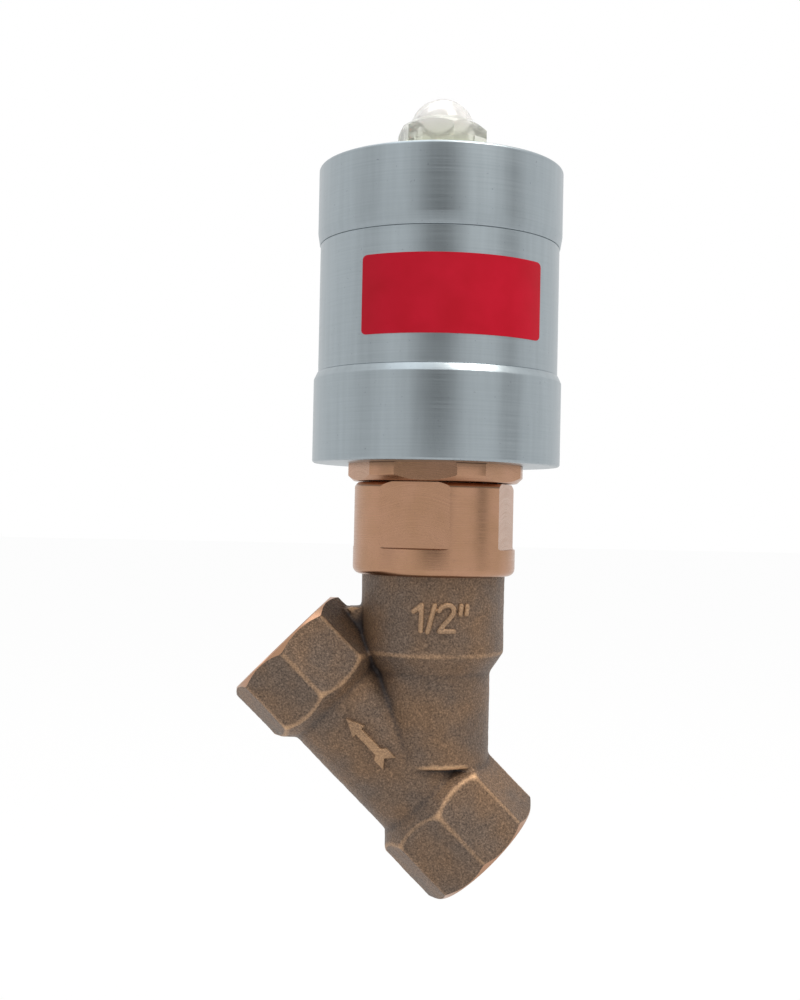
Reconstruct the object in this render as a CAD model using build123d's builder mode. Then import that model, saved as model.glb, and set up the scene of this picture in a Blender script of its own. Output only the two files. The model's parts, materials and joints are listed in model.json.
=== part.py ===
from build123d import *
from math import cos, radians, sin, sqrt
import os

# Angle seat valve with a pneumatic piston actuator, in millimetres.
# The pipe run lies at an angle to the stem. Levels are heights above the point where the
# stem axis crosses the run, and reaches are distances from it along the run.
# The origin is the centre of the inlet port's face, and +Z runs up the stem.

os.makedirs("parts", exist_ok=True)

# Fits
thread_clearance = 0.05
running_clearance = 0.05
slip_clearance = 0.05
end_gap = 0.3
seal_gap = 0.1

# Pipe run and its two threaded ends
run_angle = 45.0
inlet_reach = 16.3
outlet_reach = 43.3
passage_r = 7.0
pipe_wall = 4.4
end_sides = 8
end_across_flats = 27.0
inlet_corner_length = 14.3
outlet_corner_length = 12.7
end_edge_r = 1.0
end_face_step = 0.2
port_thread_r = 10.4775
port_thread_length = 11.0

# Neck of the casting
neck_bottom = 7.0
neck_lower_wall = 3.0
neck_lower_height = 18.4
neck_taper_height = 4.2
neck_upper_wall = 3.7
neck_upper_height = 15.6
gasket_width = 2.0
web_width = 6.0
web_below_top = 6.9

# Seat and chamber
seat_level = 5.0
seat_lip_height = 1.0
seat_lip_width = 0.9
seat_r = 6.5
chamber_r = 9.0
chamber_spare = 6.0

# Raised flow arrow on the run, from tip to tail
arrow_tip_reach = 24.0
arrow_length = 12.4
arrow_head_length = 3.65
arrow_head_width = 3.3
arrow_shaft_width = 1.6
arrow_tail_length = 2.6
arrow_tail_width = 3.4
arrow_notch = 1.5
arrow_raise = 0.7
arrow_root = 0.5

# Bonnet
gasket_thickness = 1.2
collar_overhang = 2.0
collar_height = 18.7
collar_edge_r = 1.6
collar_top_edge = 0.4
collar_flat_depth = 1.6
collar_flat_height = 13.3
collar_flat_turn = 16.4
bonnet_thread_r = 10.0
packing_bore_r = 6.5
guide_length = 3.3
wiper_r = 6.0
wiper_length = 2.2

# Stem packing
packing_washer_thickness = 1.0
packing_ring_count = 4
packing_ring_thickness = 2.0
packing_ring_v = 1.0
gland_length = 12.0
gland_top_gap = 2.6
gland_slot_width = 1.6
gland_slot_depth = 1.5
packing_spring_wire_r = 0.6
packing_spring_turns = 7

# Lock nut
lock_nut_gap = 0.2
lock_nut_height = 3.6
lock_nut_r = 18.0
lock_nut_across_flats = 33.8
lock_nut_turn = 8.2
lock_nut_chamfer_width = 0.8
lock_nut_chamfer_height = 1.0

# Actuator barrel
bore_r = 20.0
joint_wall = 2.0
joint_length = 5.7
barrel_shoulder = 2.65
barrel_height = 26.2

# Actuator caps
cap_rim_step = 0.15
bottom_cap_height = 18.5
bottom_chamfer_width = 0.7
bottom_chamfer_height = 1.5
cap_edge_r = 0.6
hub_thread_depth = 9.5
cap_spigot_height = 3.0
top_cap_height = 15.8
top_chamfer_width = 0.4
top_chamfer_height = 2.4
roof_thickness = 5.2
roof_wall = 3.0
cap_o_ring_cord_r = 0.85

# Pilot air port and vent at the back of the actuator
pilot_thread_r = 4.864
pilot_thread_length = 7.2
pilot_face_r = 6.3
pilot_height = 6.5
pilot_drill_r = 1.5
pilot_rise_inset = 5.5
vent_r = 2.0
vent_below_roof = 2.1
vent_slot_width = 0.8
vent_slot_depth = 0.7

# Moving parts
stem_r = 4.0
stem_travel = 8.0
piston_rest_gap = 1.0
piston_floor = 7.0
piston_rim_height = 2.0
piston_rim_width = 2.8
piston_boss_r = 7.4
piston_boss_height = 1.0
piston_seal_bottom = 1.8
piston_seal_height = 2.6
piston_seal_depth = 2.35
piston_seal_lip = 1.1
guide_ring_bottom = 5.4
guide_ring_height = 1.8
guide_ring_depth = 0.95
piston_thread_r = 3.0
piston_washer_r = 6.4
piston_washer_thickness = 1.2
piston_nut_across_flats = 10.0
piston_nut_height = 5.0
stem_tip_r = 2.0
stem_tip_length = 4.4
stem_end_chamfer = 0.4

disc_side_gap = 0.6
disc_body_height = 4.8
disc_edge = 0.6
disc_lip_width = 0.5
seat_seal_thickness = 2.2
seat_seal_recess = 1.2
disc_thread_r = 2.5
seal_washer_r = 5.8
seal_washer_thickness = 1.2
disc_nut_across_flats = 8.0
disc_nut_height = 3.0
disc_thread_spare = 0.4

stem_o_ring_cord_r = 1.0
stem_o_ring_depth = 4.0

# Return springs
outer_spring_gap = 0.9
outer_spring_wire_r = 1.5
outer_spring_turns = 5.5
inner_spring_gap = 0.5
inner_spring_wire_r = 1.1
inner_spring_turns = 7.5

# Sight dome and position indicator
indicator_r = 4.0
indicator_above_roof = 0.3
indicator_side_gap = 0.9
dome_thread_wall = 1.1
dome_thread_length = 4.0
dome_seat_wall = 1.15
dome_turn = 20.0
dome_hex_height = 9.4
dome_crown_height = 5.9
dome_foot_step = 0.05
dome_foot_width = 1.4
dome_foot_height = 1.0
dome_wall = 1.6
dome_chamfer = 0.9
dome_o_ring_cord_r = 0.5

# Label
label_height = 15.3
label_arc = 89.5
label_turn = 6.6
label_thickness = 0.15
label_rise = 0.1

# Levels, stacked from the casting to the dome
neck_taper_start = neck_bottom + neck_lower_height
neck_taper_end = neck_taper_start + neck_taper_height
neck_top = neck_taper_end + neck_upper_height
collar_top = neck_top + collar_height
nut_bottom = collar_top + lock_nut_gap
cap_bottom = nut_bottom + lock_nut_height
barrel_bottom = cap_bottom + bottom_cap_height
barrel_top = barrel_bottom + barrel_height
tube_bottom = barrel_bottom - joint_length
tube_top = barrel_top + joint_length
bottom_ledge = tube_bottom - end_gap
top_ledge = tube_top + end_gap
cap_floor = bottom_ledge + cap_spigot_height
roof_top = barrel_top + top_cap_height
roof_bottom = roof_top - roof_thickness
hub_top = cap_bottom + hub_thread_depth
bonnet_top = hub_top - end_gap

# Radii of the casting and the bonnet, from the passage and the chamber outwards
pipe_outer_r = passage_r + pipe_wall
end_face_r = end_across_flats / 2 - end_face_step
neck_lower_r = chamber_r + neck_lower_wall
neck_thread_r = chamber_r + gasket_width
neck_upper_r = neck_thread_r + neck_upper_wall
neck_spigot_r = neck_thread_r - thread_clearance
collar_r = neck_upper_r + collar_overhang
collar_flat_distance = collar_r - collar_flat_depth
bonnet_spigot_r = bonnet_thread_r - thread_clearance
stem_bore_r = stem_r + running_clearance
packing_r = packing_bore_r - slip_clearance
lock_nut_chamfer_r = lock_nut_r - lock_nut_chamfer_width
disc_r = chamber_r - disc_side_gap
seat_seal_r = disc_r - disc_lip_width

# Radii of the actuator, from its bore outwards and inwards
joint_r = bore_r + joint_wall
joint_bore_r = joint_r + thread_clearance
barrel_r = joint_r + barrel_shoulder
cap_rim_r = barrel_r + cap_rim_step
bottom_cap_r = cap_rim_r + bottom_chamfer_width
top_cap_r = cap_rim_r + top_chamfer_width
cap_spigot_r = bore_r - slip_clearance
roof_bore_r = bore_r - roof_wall
pilot_rise_r = bore_r - pilot_rise_inset
outer_spring_r = roof_bore_r - outer_spring_gap - outer_spring_wire_r
inner_spring_r = piston_boss_r + inner_spring_gap + inner_spring_wire_r

# Radii of the sight dome, from the indicator outwards
dome_bore_r = indicator_r + indicator_side_gap
dome_thread_r = dome_bore_r + dome_thread_wall
o_ring_seat_r = dome_thread_r + 2 * dome_o_ring_cord_r + seal_gap
dome_flat_r = o_ring_seat_r + dome_seat_wall
dome_foot_r = dome_flat_r - dome_foot_step
dome_crown_r = dome_foot_r - dome_foot_width

# Levels of the disc and its seal, with the valve shut
seal_top = seat_level + seat_seal_thickness
disc_bottom = seal_top - seat_seal_recess
disc_top = seal_top + disc_body_height
washer_bottom = seat_level - seal_washer_thickness
disc_nut_bottom = washer_bottom - disc_nut_height
stem_bottom = disc_nut_bottom - disc_thread_spare

# The chamber is as tall as the disc's lift needs, and the bonnet's spigot closes it.
gasket_bottom = disc_top + stem_travel + chamber_spare
spigot_bottom = gasket_bottom + gasket_thickness

# Levels of the stem packing
wiper_top = spigot_bottom + wiper_length
packing_bottom = wiper_top + guide_length
ring_stack_bottom = packing_bottom + packing_washer_thickness
ring_pitch = packing_ring_thickness + seal_gap
ring_stack_top = ring_stack_bottom + packing_ring_count * ring_pitch + packing_ring_v
gland_top = bonnet_top - gland_top_gap
gland_bottom = gland_top - gland_length

# Levels of the piston and the stem's upper end, with the valve shut
piston_bottom = cap_floor + piston_rest_gap
spring_seat = piston_bottom + piston_floor
boss_top = spring_seat + piston_boss_height
piston_nut_bottom = boss_top + piston_washer_thickness
piston_nut_top = piston_nut_bottom + piston_nut_height
stem_top = piston_nut_top + stem_tip_length

# Planes and axes
run_x = cos(radians(run_angle))
run_z = sin(radians(run_angle))
crossing = (-inlet_reach * run_x, 0, inlet_reach * run_z)
STEM = Plane(origin=crossing, x_dir=(1, 0, 0), z_dir=(0, 0, 1))
SECTION = Plane(origin=crossing, x_dir=(1, 0, 0), z_dir=(0, -1, 0))
RUN = Plane(origin=crossing, x_dir=(run_z, 0, run_x), z_dir=(run_x, 0, -run_z))
RUN_SECTION = Plane(origin=crossing, x_dir=(run_x, 0, -run_z), z_dir=(0, -1, 0))
BACK = Plane(origin=crossing, x_dir=(-1, 0, 0), z_dir=(0, 1, 0))
STEM_AXIS = Axis(crossing, (0, 0, 1))
RUN_AXIS = Axis(crossing, (run_x, 0, -run_z))


def finish(sub_part, name):
    """Labels a finished piece and writes it under the same name."""
    sub_part.part.label = name
    export_step(sub_part.part, f"parts/{name}.step")
    print(name, len(sub_part.part.solids()), "solid(s), volume", round(sub_part.part.volume, 1))


# Valve body: a cast Y of the pipe run and the neck, with the seat inside

with BuildPart() as valve_body:
    with BuildSketch(RUN.offset(-outlet_reach + outlet_corner_length / 2)):
        Circle(pipe_outer_r)
    extrude(amount=outlet_reach + inlet_reach - (outlet_corner_length + inlet_corner_length) / 2)
    # Each end is an octagon. One cone bevels its face, and another takes its corners
    # down to the pipe.
    end_corner_r = end_across_flats / 2 / cos(radians(180 / end_sides))
    shoulder_length = end_corner_r - pipe_outer_r
    for face, inward, corner_length in (
        (inlet_reach, -1, inlet_corner_length),
        (-outlet_reach, 1, outlet_corner_length),
    ):
        shoulder = face + inward * corner_length
        pipe_start = shoulder + inward * shoulder_length
        with BuildSketch(RUN.offset(face)) as end_outline:
            RegularPolygon(end_across_flats / 2, end_sides, major_radius=False)
            fillet(end_outline.vertices(), end_edge_r)
        extrude(amount=inward * (corner_length + shoulder_length))
        with BuildSketch(RUN_SECTION):
            with BuildLine():
                Polyline(
                    (face, end_face_r),
                    (face, end_across_flats),
                    (face + inward * (end_across_flats - end_face_r), end_across_flats),
                    close=True,
                )
            make_face()
            with BuildLine():
                Polyline(
                    (pipe_start, pipe_outer_r),
                    (pipe_start, end_across_flats),
                    (pipe_start - inward * (end_across_flats - pipe_outer_r), end_across_flats),
                    close=True,
                )
            make_face()
        revolve(axis=RUN_AXIS, mode=Mode.SUBTRACT)
    with BuildSketch(SECTION):
        with BuildLine():
            Polyline(
                (0, neck_bottom),
                (neck_lower_r, neck_bottom),
                (neck_lower_r, neck_taper_start),
                (neck_upper_r, neck_taper_end),
                (neck_upper_r, neck_top),
                (0, neck_top),
                close=True,
            )
        make_face()
    revolve(axis=STEM_AXIS)
    # The web fills the crotch between the outlet end and the neck.
    web_top = neck_top - web_below_top
    crotch_line = end_corner_r / run_x
    with BuildSketch(SECTION):
        with BuildLine():
            Polyline(
                (-neck_lower_r, neck_taper_end),
                (-neck_lower_r, web_top),
                (crotch_line - web_top, web_top),
                close=True,
            )
        make_face()
    extrude(amount=web_width / 2, both=True)
    # The flow arrow points from the inlet to the outlet.
    tail_reach = -arrow_tip_reach + arrow_length
    with BuildSketch(RUN_SECTION.offset(pipe_outer_r - arrow_root)):
        with BuildLine():
            Polyline(
                (-arrow_tip_reach, 0),
                (-arrow_tip_reach + arrow_head_length, arrow_head_width / 2),
                (-arrow_tip_reach + arrow_head_length, arrow_shaft_width / 2),
                (tail_reach - arrow_tail_length - arrow_notch / 2, arrow_shaft_width / 2),
                (tail_reach - arrow_tail_length, arrow_tail_width / 2),
                (tail_reach, arrow_tail_width / 2),
                (tail_reach - arrow_notch, 0),
            )
            mirror(about=Plane.XZ)
        make_face()
    extrude(amount=arrow_root + arrow_raise)
    # The outlet passage stops at the seat's wall, which stands round the crossing.
    with BuildSketch(RUN.offset(-outlet_reach)):
        Circle(passage_r)
    extrude(amount=outlet_reach, mode=Mode.SUBTRACT)
    with BuildSketch(STEM.offset(-passage_r * run_z)):
        Circle(chamber_r)
    extrude(amount=seat_level + passage_r * run_z)
    with BuildSketch(RUN_SECTION):
        with BuildLine():
            Line((-passage_r, 0), (0, 0))
            Line((0, 0), (0, passage_r))
            RadiusArc((0, passage_r), (-passage_r, 0), -passage_r)
        make_face()
    revolve(axis=RUN_AXIS, mode=Mode.SUBTRACT)
    with BuildSketch(RUN):
        Circle(passage_r)
    extrude(amount=inlet_reach, mode=Mode.SUBTRACT)
    for face, inward in ((inlet_reach, -1), (-outlet_reach, 1)):
        with BuildSketch(RUN.offset(face)):
            Circle(port_thread_r)
        extrude(amount=inward * port_thread_length, mode=Mode.SUBTRACT)
    with BuildSketch(SECTION):
        with BuildLine():
            Polyline(
                (0, 0),
                (seat_r, 0),
                (seat_r, seat_level),
                (seat_r + seat_lip_width, seat_level),
                (seat_r + seat_lip_width, seat_level - seat_lip_height),
                (chamber_r, seat_level - seat_lip_height),
                (chamber_r, gasket_bottom),
                (neck_thread_r, gasket_bottom),
                (neck_thread_r, neck_top),
                (0, neck_top),
                close=True,
            )
        make_face()
    revolve(axis=STEM_AXIS, mode=Mode.SUBTRACT)
finish(valve_body, "valve_body")

# Bonnet: screws into the neck, holds the packing and carries the actuator

with BuildPart() as bonnet:
    with BuildSketch(SECTION):
        with BuildLine():
            FilletPolyline(
                (wiper_r, spigot_bottom),
                (neck_spigot_r, spigot_bottom),
                (neck_spigot_r, neck_top),
                (collar_r, neck_top),
                (collar_r, collar_top),
                (bonnet_spigot_r, collar_top),
                (bonnet_spigot_r, bonnet_top),
                (packing_bore_r, bonnet_top),
                (packing_bore_r, packing_bottom),
                (stem_bore_r, packing_bottom),
                (stem_bore_r, wiper_top),
                (wiper_r, wiper_top),
                radius=(0, 0, 0, collar_edge_r, collar_top_edge, 0, 0, 0, 0, 0, 0, 0),
                close=True,
            )
        make_face()
    revolve(axis=STEM_AXIS)
    # Four flats take a spanner.
    with BuildSketch(STEM.offset(collar_top - collar_flat_height)):
        Circle(collar_r + collar_edge_r)
        Rectangle(
            2 * collar_flat_distance,
            2 * collar_flat_distance,
            rotation=-collar_flat_turn,
            mode=Mode.SUBTRACT,
        )
    extrude(amount=collar_flat_height, mode=Mode.SUBTRACT)
finish(bonnet, "bonnet")

# Lock nut: jams against the bottom cap, to hold the actuator where it is turned to

with BuildPart() as lock_nut:
    with BuildSketch(STEM.offset(nut_bottom)):
        RegularPolygon(
            lock_nut_across_flats / 2, 6, major_radius=False, rotation=-lock_nut_turn
        )
        Circle(lock_nut_r, mode=Mode.INTERSECT)
        Circle(bonnet_thread_r, mode=Mode.SUBTRACT)
    extrude(amount=lock_nut_height)
    with BuildSketch(SECTION):
        with BuildLine():
            Polyline(
                (lock_nut_chamfer_r, nut_bottom),
                (2 * lock_nut_r, nut_bottom),
                (2 * lock_nut_r, nut_bottom + lock_nut_chamfer_height),
                (lock_nut_r, nut_bottom + lock_nut_chamfer_height),
                close=True,
            )
        make_face()
    revolve(axis=STEM_AXIS, mode=Mode.SUBTRACT)
finish(lock_nut, "lock_nut")

# Bottom cap of the actuator, with the pilot air port at the back

pilot_level = cap_bottom + pilot_height
pilot_face_y = sqrt(bottom_cap_r**2 - pilot_face_r**2)
pilot_floor_y = pilot_face_y - pilot_thread_length
stem_groove_r = stem_bore_r + 2 * stem_o_ring_cord_r
stem_groove_top = cap_floor - stem_o_ring_depth + 2 * stem_o_ring_cord_r
o_ring_groove_r = bore_r - 2 * cap_o_ring_cord_r
o_ring_level_below = cap_floor - cap_spigot_height / 2

with BuildPart() as bottom_cap:
    with BuildSketch(SECTION):
        with BuildLine():
            FilletPolyline(
                (bonnet_thread_r, cap_bottom),
                (bottom_cap_r, cap_bottom),
                (bottom_cap_r, barrel_bottom - bottom_chamfer_height),
                (cap_rim_r, barrel_bottom),
                (joint_bore_r, barrel_bottom),
                (joint_bore_r, bottom_ledge),
                (cap_spigot_r, bottom_ledge),
                (cap_spigot_r, cap_floor),
                (stem_bore_r, cap_floor),
                (stem_bore_r, hub_top),
                (bonnet_thread_r, hub_top),
                radius=(0, cap_edge_r, 0, 0, 0, 0, 0, 0, 0, 0, 0),
                close=True,
            )
        make_face()
    revolve(axis=STEM_AXIS)
    with BuildSketch(SECTION):
        with Locations((cap_spigot_r, o_ring_level_below)):
            Rectangle(2 * (cap_spigot_r - o_ring_groove_r), 2 * cap_o_ring_cord_r)
        with Locations((stem_bore_r, stem_groove_top - stem_o_ring_cord_r)):
            Rectangle(2 * (stem_groove_r - stem_bore_r), 2 * stem_o_ring_cord_r)
    revolve(axis=STEM_AXIS, mode=Mode.SUBTRACT)
    with BuildSketch(BACK.offset(bottom_cap_r)):
        with Locations((0, pilot_level)):
            Circle(pilot_face_r)
    extrude(amount=pilot_face_y - bottom_cap_r, mode=Mode.SUBTRACT)
    with BuildSketch(BACK.offset(pilot_face_y)):
        with Locations((0, pilot_level)):
            Circle(pilot_thread_r)
    extrude(amount=-pilot_thread_length, mode=Mode.SUBTRACT)
    with BuildSketch(BACK.offset(pilot_floor_y)):
        with Locations((0, pilot_level)):
            Circle(pilot_drill_r)
    extrude(amount=pilot_rise_r - pilot_floor_y, mode=Mode.SUBTRACT)
    with BuildSketch(STEM.offset(pilot_level)):
        with Locations((0, pilot_rise_r)):
            Circle(pilot_drill_r)
    extrude(amount=cap_floor - pilot_level, mode=Mode.SUBTRACT)
finish(bottom_cap, "bottom_cap")

# Barrel of the actuator: a tube turned down at both ends, where the caps screw on

with BuildPart() as cylinder_tube:
    with BuildSketch(SECTION):
        with BuildLine():
            Polyline(
                (bore_r, tube_bottom),
                (joint_r, tube_bottom),
                (joint_r, barrel_bottom),
                (barrel_r, barrel_bottom),
                (barrel_r, barrel_top),
                (joint_r, barrel_top),
                (joint_r, tube_top),
                (bore_r, tube_top),
                close=True,
            )
        make_face()
    revolve(axis=STEM_AXIS)
finish(cylinder_tube, "cylinder_tube")

# Top cap of the actuator: the springs push against its roof

spigot_end = top_ledge - cap_spigot_height
o_ring_level_above = top_ledge - cap_spigot_height / 2
vent_level = roof_bottom - vent_below_roof
dome_hole_r = dome_thread_r + thread_clearance

with BuildPart() as top_cap:
    with BuildSketch(SECTION):
        with BuildLine():
            FilletPolyline(
                (joint_bore_r, barrel_top),
                (cap_rim_r, barrel_top),
                (top_cap_r, barrel_top + top_chamfer_height),
                (top_cap_r, roof_top),
                (dome_hole_r, roof_top),
                (dome_hole_r, roof_bottom),
                (roof_bore_r, roof_bottom),
                (roof_bore_r, spigot_end),
                (cap_spigot_r, spigot_end),
                (cap_spigot_r, top_ledge),
                (joint_bore_r, top_ledge),
                radius=(0, 0, 0, cap_edge_r, 0, 0, 0, 0, 0, 0, 0),
                close=True,
            )
        make_face()
    revolve(axis=STEM_AXIS)
    with BuildSketch(SECTION):
        with Locations((cap_spigot_r, o_ring_level_above)):
            Rectangle(2 * (cap_spigot_r - o_ring_groove_r), 2 * cap_o_ring_cord_r)
    revolve(axis=STEM_AXIS, mode=Mode.SUBTRACT)
    with BuildSketch(BACK):
        with Locations((0, vent_level)):
            Circle(vent_r + thread_clearance)
    extrude(amount=top_cap_r, mode=Mode.SUBTRACT)
finish(top_cap, "top_cap")

# Vent filter: a slotted sintered plug that lets the spring side breathe

with BuildPart() as vent_filter:
    with BuildSketch(BACK.offset(roof_bore_r)):
        with Locations((0, vent_level)):
            Circle(vent_r)
    extrude(amount=top_cap_r - roof_bore_r - end_gap)
    with BuildSketch(BACK.offset(top_cap_r - end_gap)):
        with Locations((0, vent_level)):
            Rectangle(2 * top_cap_r, vent_slot_width)
    extrude(amount=-vent_slot_depth, mode=Mode.SUBTRACT)
finish(vent_filter, "vent_filter")

# Sight dome: a clear hexagon with a crown, screwed into the roof

dome_top = roof_top + dome_hex_height
dome_corner_r = dome_flat_r / cos(radians(30))
crown_centre = dome_top + dome_crown_height - dome_crown_r
foot_ring_r = sqrt(dome_crown_r**2 - (dome_top + dome_foot_height - crown_centre) ** 2)
inner_crown_r = dome_crown_r - dome_wall

with BuildPart() as sight_dome:
    with BuildSketch(STEM.offset(roof_top)):
        RegularPolygon(dome_flat_r, 6, major_radius=False, rotation=dome_turn)
    extrude(amount=dome_hex_height)
    with BuildSketch(SECTION):
        with BuildLine():
            Polyline(
                (dome_corner_r - dome_chamfer, dome_top),
                (2 * dome_corner_r, dome_top),
                (2 * dome_corner_r, dome_top - dome_chamfer),
                (dome_corner_r, dome_top - dome_chamfer),
                close=True,
            )
        make_face()
    revolve(axis=STEM_AXIS, mode=Mode.SUBTRACT)
    with BuildSketch(STEM.offset(roof_top - dome_thread_length)):
        Circle(dome_thread_r)
    extrude(amount=dome_thread_length)
    with BuildSketch(SECTION):
        with BuildLine():
            crown = RadiusArc(
                (0, crown_centre + dome_crown_r),
                (foot_ring_r, dome_top + dome_foot_height),
                dome_crown_r,
            )
            Polyline(crown @ 1, (dome_foot_r, dome_top), (0, dome_top), crown @ 0)
        make_face()
    revolve(axis=STEM_AXIS)
    with BuildSketch(SECTION):
        with BuildLine():
            hollow = RadiusArc(
                (0, crown_centre + inner_crown_r),
                (inner_crown_r, crown_centre),
                inner_crown_r,
            )
            Polyline(
                hollow @ 1,
                (dome_bore_r, roof_top),
                (dome_bore_r, roof_top - dome_thread_length),
                (0, roof_top - dome_thread_length),
                hollow @ 0,
            )
        make_face()
    revolve(axis=STEM_AXIS, mode=Mode.SUBTRACT)
    with BuildSketch(STEM.offset(roof_top)):
        Circle(o_ring_seat_r)
        Circle(dome_thread_r, mode=Mode.SUBTRACT)
    extrude(amount=2 * dome_o_ring_cord_r, mode=Mode.SUBTRACT)
finish(sight_dome, "sight_dome")

# Label: a thin plate wrapped on the barrel

with BuildPart() as label_plate:
    with BuildSketch(STEM.offset(barrel_bottom + (barrel_height - label_height) / 2 + label_rise)):
        Circle(barrel_r + label_thickness)
        Circle(barrel_r, mode=Mode.SUBTRACT)
        with BuildLine():
            Polyline(
                (0, 0),
                PolarLine((0, 0), 2 * barrel_r, label_turn - 90 - label_arc / 2) @ 1,
                PolarLine((0, 0), 2 * barrel_r, label_turn - 90 + label_arc / 2) @ 1,
                close=True,
            )
        make_face(mode=Mode.INTERSECT)
    extrude(amount=label_height)
finish(label_plate, "label_plate")

# Stem: from the disc, through the packing and the piston, to the indicator

with BuildPart() as stem:
    with BuildSketch(SECTION):
        with BuildLine():
            Polyline(
                (0, stem_bottom),
                (disc_thread_r - stem_end_chamfer, stem_bottom),
                (disc_thread_r, stem_bottom + stem_end_chamfer),
                (disc_thread_r, disc_top),
                (stem_r, disc_top),
                (stem_r, piston_bottom),
                (piston_thread_r, piston_bottom),
                (piston_thread_r, piston_nut_top),
                (stem_tip_r, piston_nut_top),
                (stem_tip_r, stem_top),
                (0, stem_top),
                close=True,
            )
        make_face()
    revolve(axis=STEM_AXIS)
finish(stem, "stem")

# Valve disc, with a recess under it for the seat seal

with BuildPart() as valve_disc:
    with BuildSketch(SECTION):
        with BuildLine():
            FilletPolyline(
                (disc_thread_r, seal_top),
                (seat_seal_r, seal_top),
                (seat_seal_r, disc_bottom),
                (disc_r, disc_bottom),
                (disc_r, disc_top),
                (disc_thread_r, disc_top),
                radius=(0, 0, 0, 0, disc_edge, 0),
                close=True,
            )
        make_face()
    revolve(axis=STEM_AXIS)
finish(valve_disc, "valve_disc")

# Piston, with a seal groove, a guide ring groove and a rim and boss that centre the springs

seal_groove_r = cap_spigot_r - piston_seal_depth
ring_groove_r = cap_spigot_r - guide_ring_depth
seal_groove_level = piston_bottom + piston_seal_bottom
ring_groove_level = piston_bottom + guide_ring_bottom

with BuildPart() as piston:
    with BuildSketch(SECTION):
        with BuildLine():
            Polyline(
                (piston_thread_r, piston_bottom),
                (cap_spigot_r, piston_bottom),
                (cap_spigot_r, spring_seat + piston_rim_height),
                (cap_spigot_r - piston_rim_width, spring_seat + piston_rim_height),
                (cap_spigot_r - piston_rim_width, spring_seat),
                (piston_boss_r, spring_seat),
                (piston_boss_r, boss_top),
                (piston_thread_r, boss_top),
                close=True,
            )
        make_face()
        with Locations((cap_spigot_r, seal_groove_level + piston_seal_height / 2)):
            Rectangle(2 * piston_seal_depth, piston_seal_height, mode=Mode.SUBTRACT)
        with Locations((cap_spigot_r, ring_groove_level + guide_ring_height / 2)):
            Rectangle(2 * guide_ring_depth, guide_ring_height, mode=Mode.SUBTRACT)
    revolve(axis=STEM_AXIS)
finish(piston, "piston")

# Piston seal: a cup whose open side faces the air below the piston

with BuildPart() as piston_seal:
    with BuildSketch(SECTION):
        with BuildLine():
            Polyline(
                (seal_groove_r, seal_groove_level + piston_seal_height),
                (cap_spigot_r, seal_groove_level + piston_seal_height),
                (cap_spigot_r, seal_groove_level),
                ((seal_groove_r + cap_spigot_r) / 2, seal_groove_level + piston_seal_lip),
                (seal_groove_r, seal_groove_level),
                close=True,
            )
        make_face()
    revolve(axis=STEM_AXIS)
finish(piston_seal, "piston_seal")

# Position indicator: a coloured rod on the stem's tip that rises into the dome

with BuildPart() as position_indicator:
    with BuildSketch(SECTION):
        with BuildLine():
            FilletPolyline(
                (stem_tip_r + slip_clearance, piston_nut_top),
                (indicator_r, piston_nut_top),
                (indicator_r, roof_top + indicator_above_roof),
                (0, roof_top + indicator_above_roof),
                (0, stem_top + end_gap),
                (stem_tip_r + slip_clearance, stem_top + end_gap),
                radius=(0, 0, indicator_r / 4, 0, 0, 0),
                close=True,
            )
        make_face()
    revolve(axis=STEM_AXIS)
finish(position_indicator, "position_indicator")

# Gland nut: presses on the packing spring, with a slot for a driver

with BuildPart() as gland_nut:
    with BuildSketch(STEM.offset(gland_bottom)):
        Circle(packing_r)
        Circle(stem_bore_r, mode=Mode.SUBTRACT)
    extrude(amount=gland_length)
    with BuildSketch(STEM.offset(gland_top)):
        Rectangle(4 * packing_r, gland_slot_width)
    extrude(amount=-gland_slot_depth, mode=Mode.SUBTRACT)
finish(gland_nut, "gland_nut")

# Packing rings: chevrons that stand one on another round the stem

with BuildPart() as stem_packing_rings:
    for place in range(packing_ring_count):
        foot = ring_stack_bottom + place * ring_pitch
        middle_r = (stem_bore_r + packing_r) / 2
        with BuildSketch(SECTION):
            with BuildLine():
                Polyline(
                    (stem_bore_r, foot),
                    (middle_r, foot + packing_ring_v),
                    (packing_r, foot),
                    (packing_r, foot + packing_ring_thickness),
                    (middle_r, foot + packing_ring_thickness + packing_ring_v),
                    (stem_bore_r, foot + packing_ring_thickness),
                    close=True,
                )
            make_face()
    revolve(axis=STEM_AXIS)
finish(stem_packing_rings, "stem_packing_rings")

# Plain rings, each given as its inner and outer radius and its levels

ring_stack_washer_top = ring_stack_top + packing_washer_thickness
plain_rings = {
    "bonnet_gasket": [(chamber_r, neck_spigot_r, gasket_bottom, spigot_bottom)],
    "stem_wiper": [(stem_bore_r, wiper_r, spigot_bottom, wiper_top)],
    "packing_washers": [
        (stem_bore_r, packing_r, packing_bottom, ring_stack_bottom),
        (stem_bore_r, packing_r, ring_stack_top, ring_stack_washer_top),
    ],
    "seat_seal": [(disc_thread_r, seat_seal_r, seat_level, seal_top)],
    "seal_washer": [(disc_thread_r, seal_washer_r, washer_bottom, seat_level)],
    "piston_washer": [(piston_thread_r, piston_washer_r, boss_top, piston_nut_bottom)],
    "piston_guide_ring": [
        (ring_groove_r, cap_spigot_r, ring_groove_level, ring_groove_level + guide_ring_height)
    ],
}
for ring_name, rings in plain_rings.items():
    with BuildPart() as plain_ring:
        for inner_r, outer_r, low, high in rings:
            with BuildSketch(STEM.offset(low)):
                Circle(outer_r)
                Circle(inner_r, mode=Mode.SUBTRACT)
            extrude(amount=high - low)
    finish(plain_ring, ring_name)

# Hexagon nuts, each given as its thread radius, width across flats and levels

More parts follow.
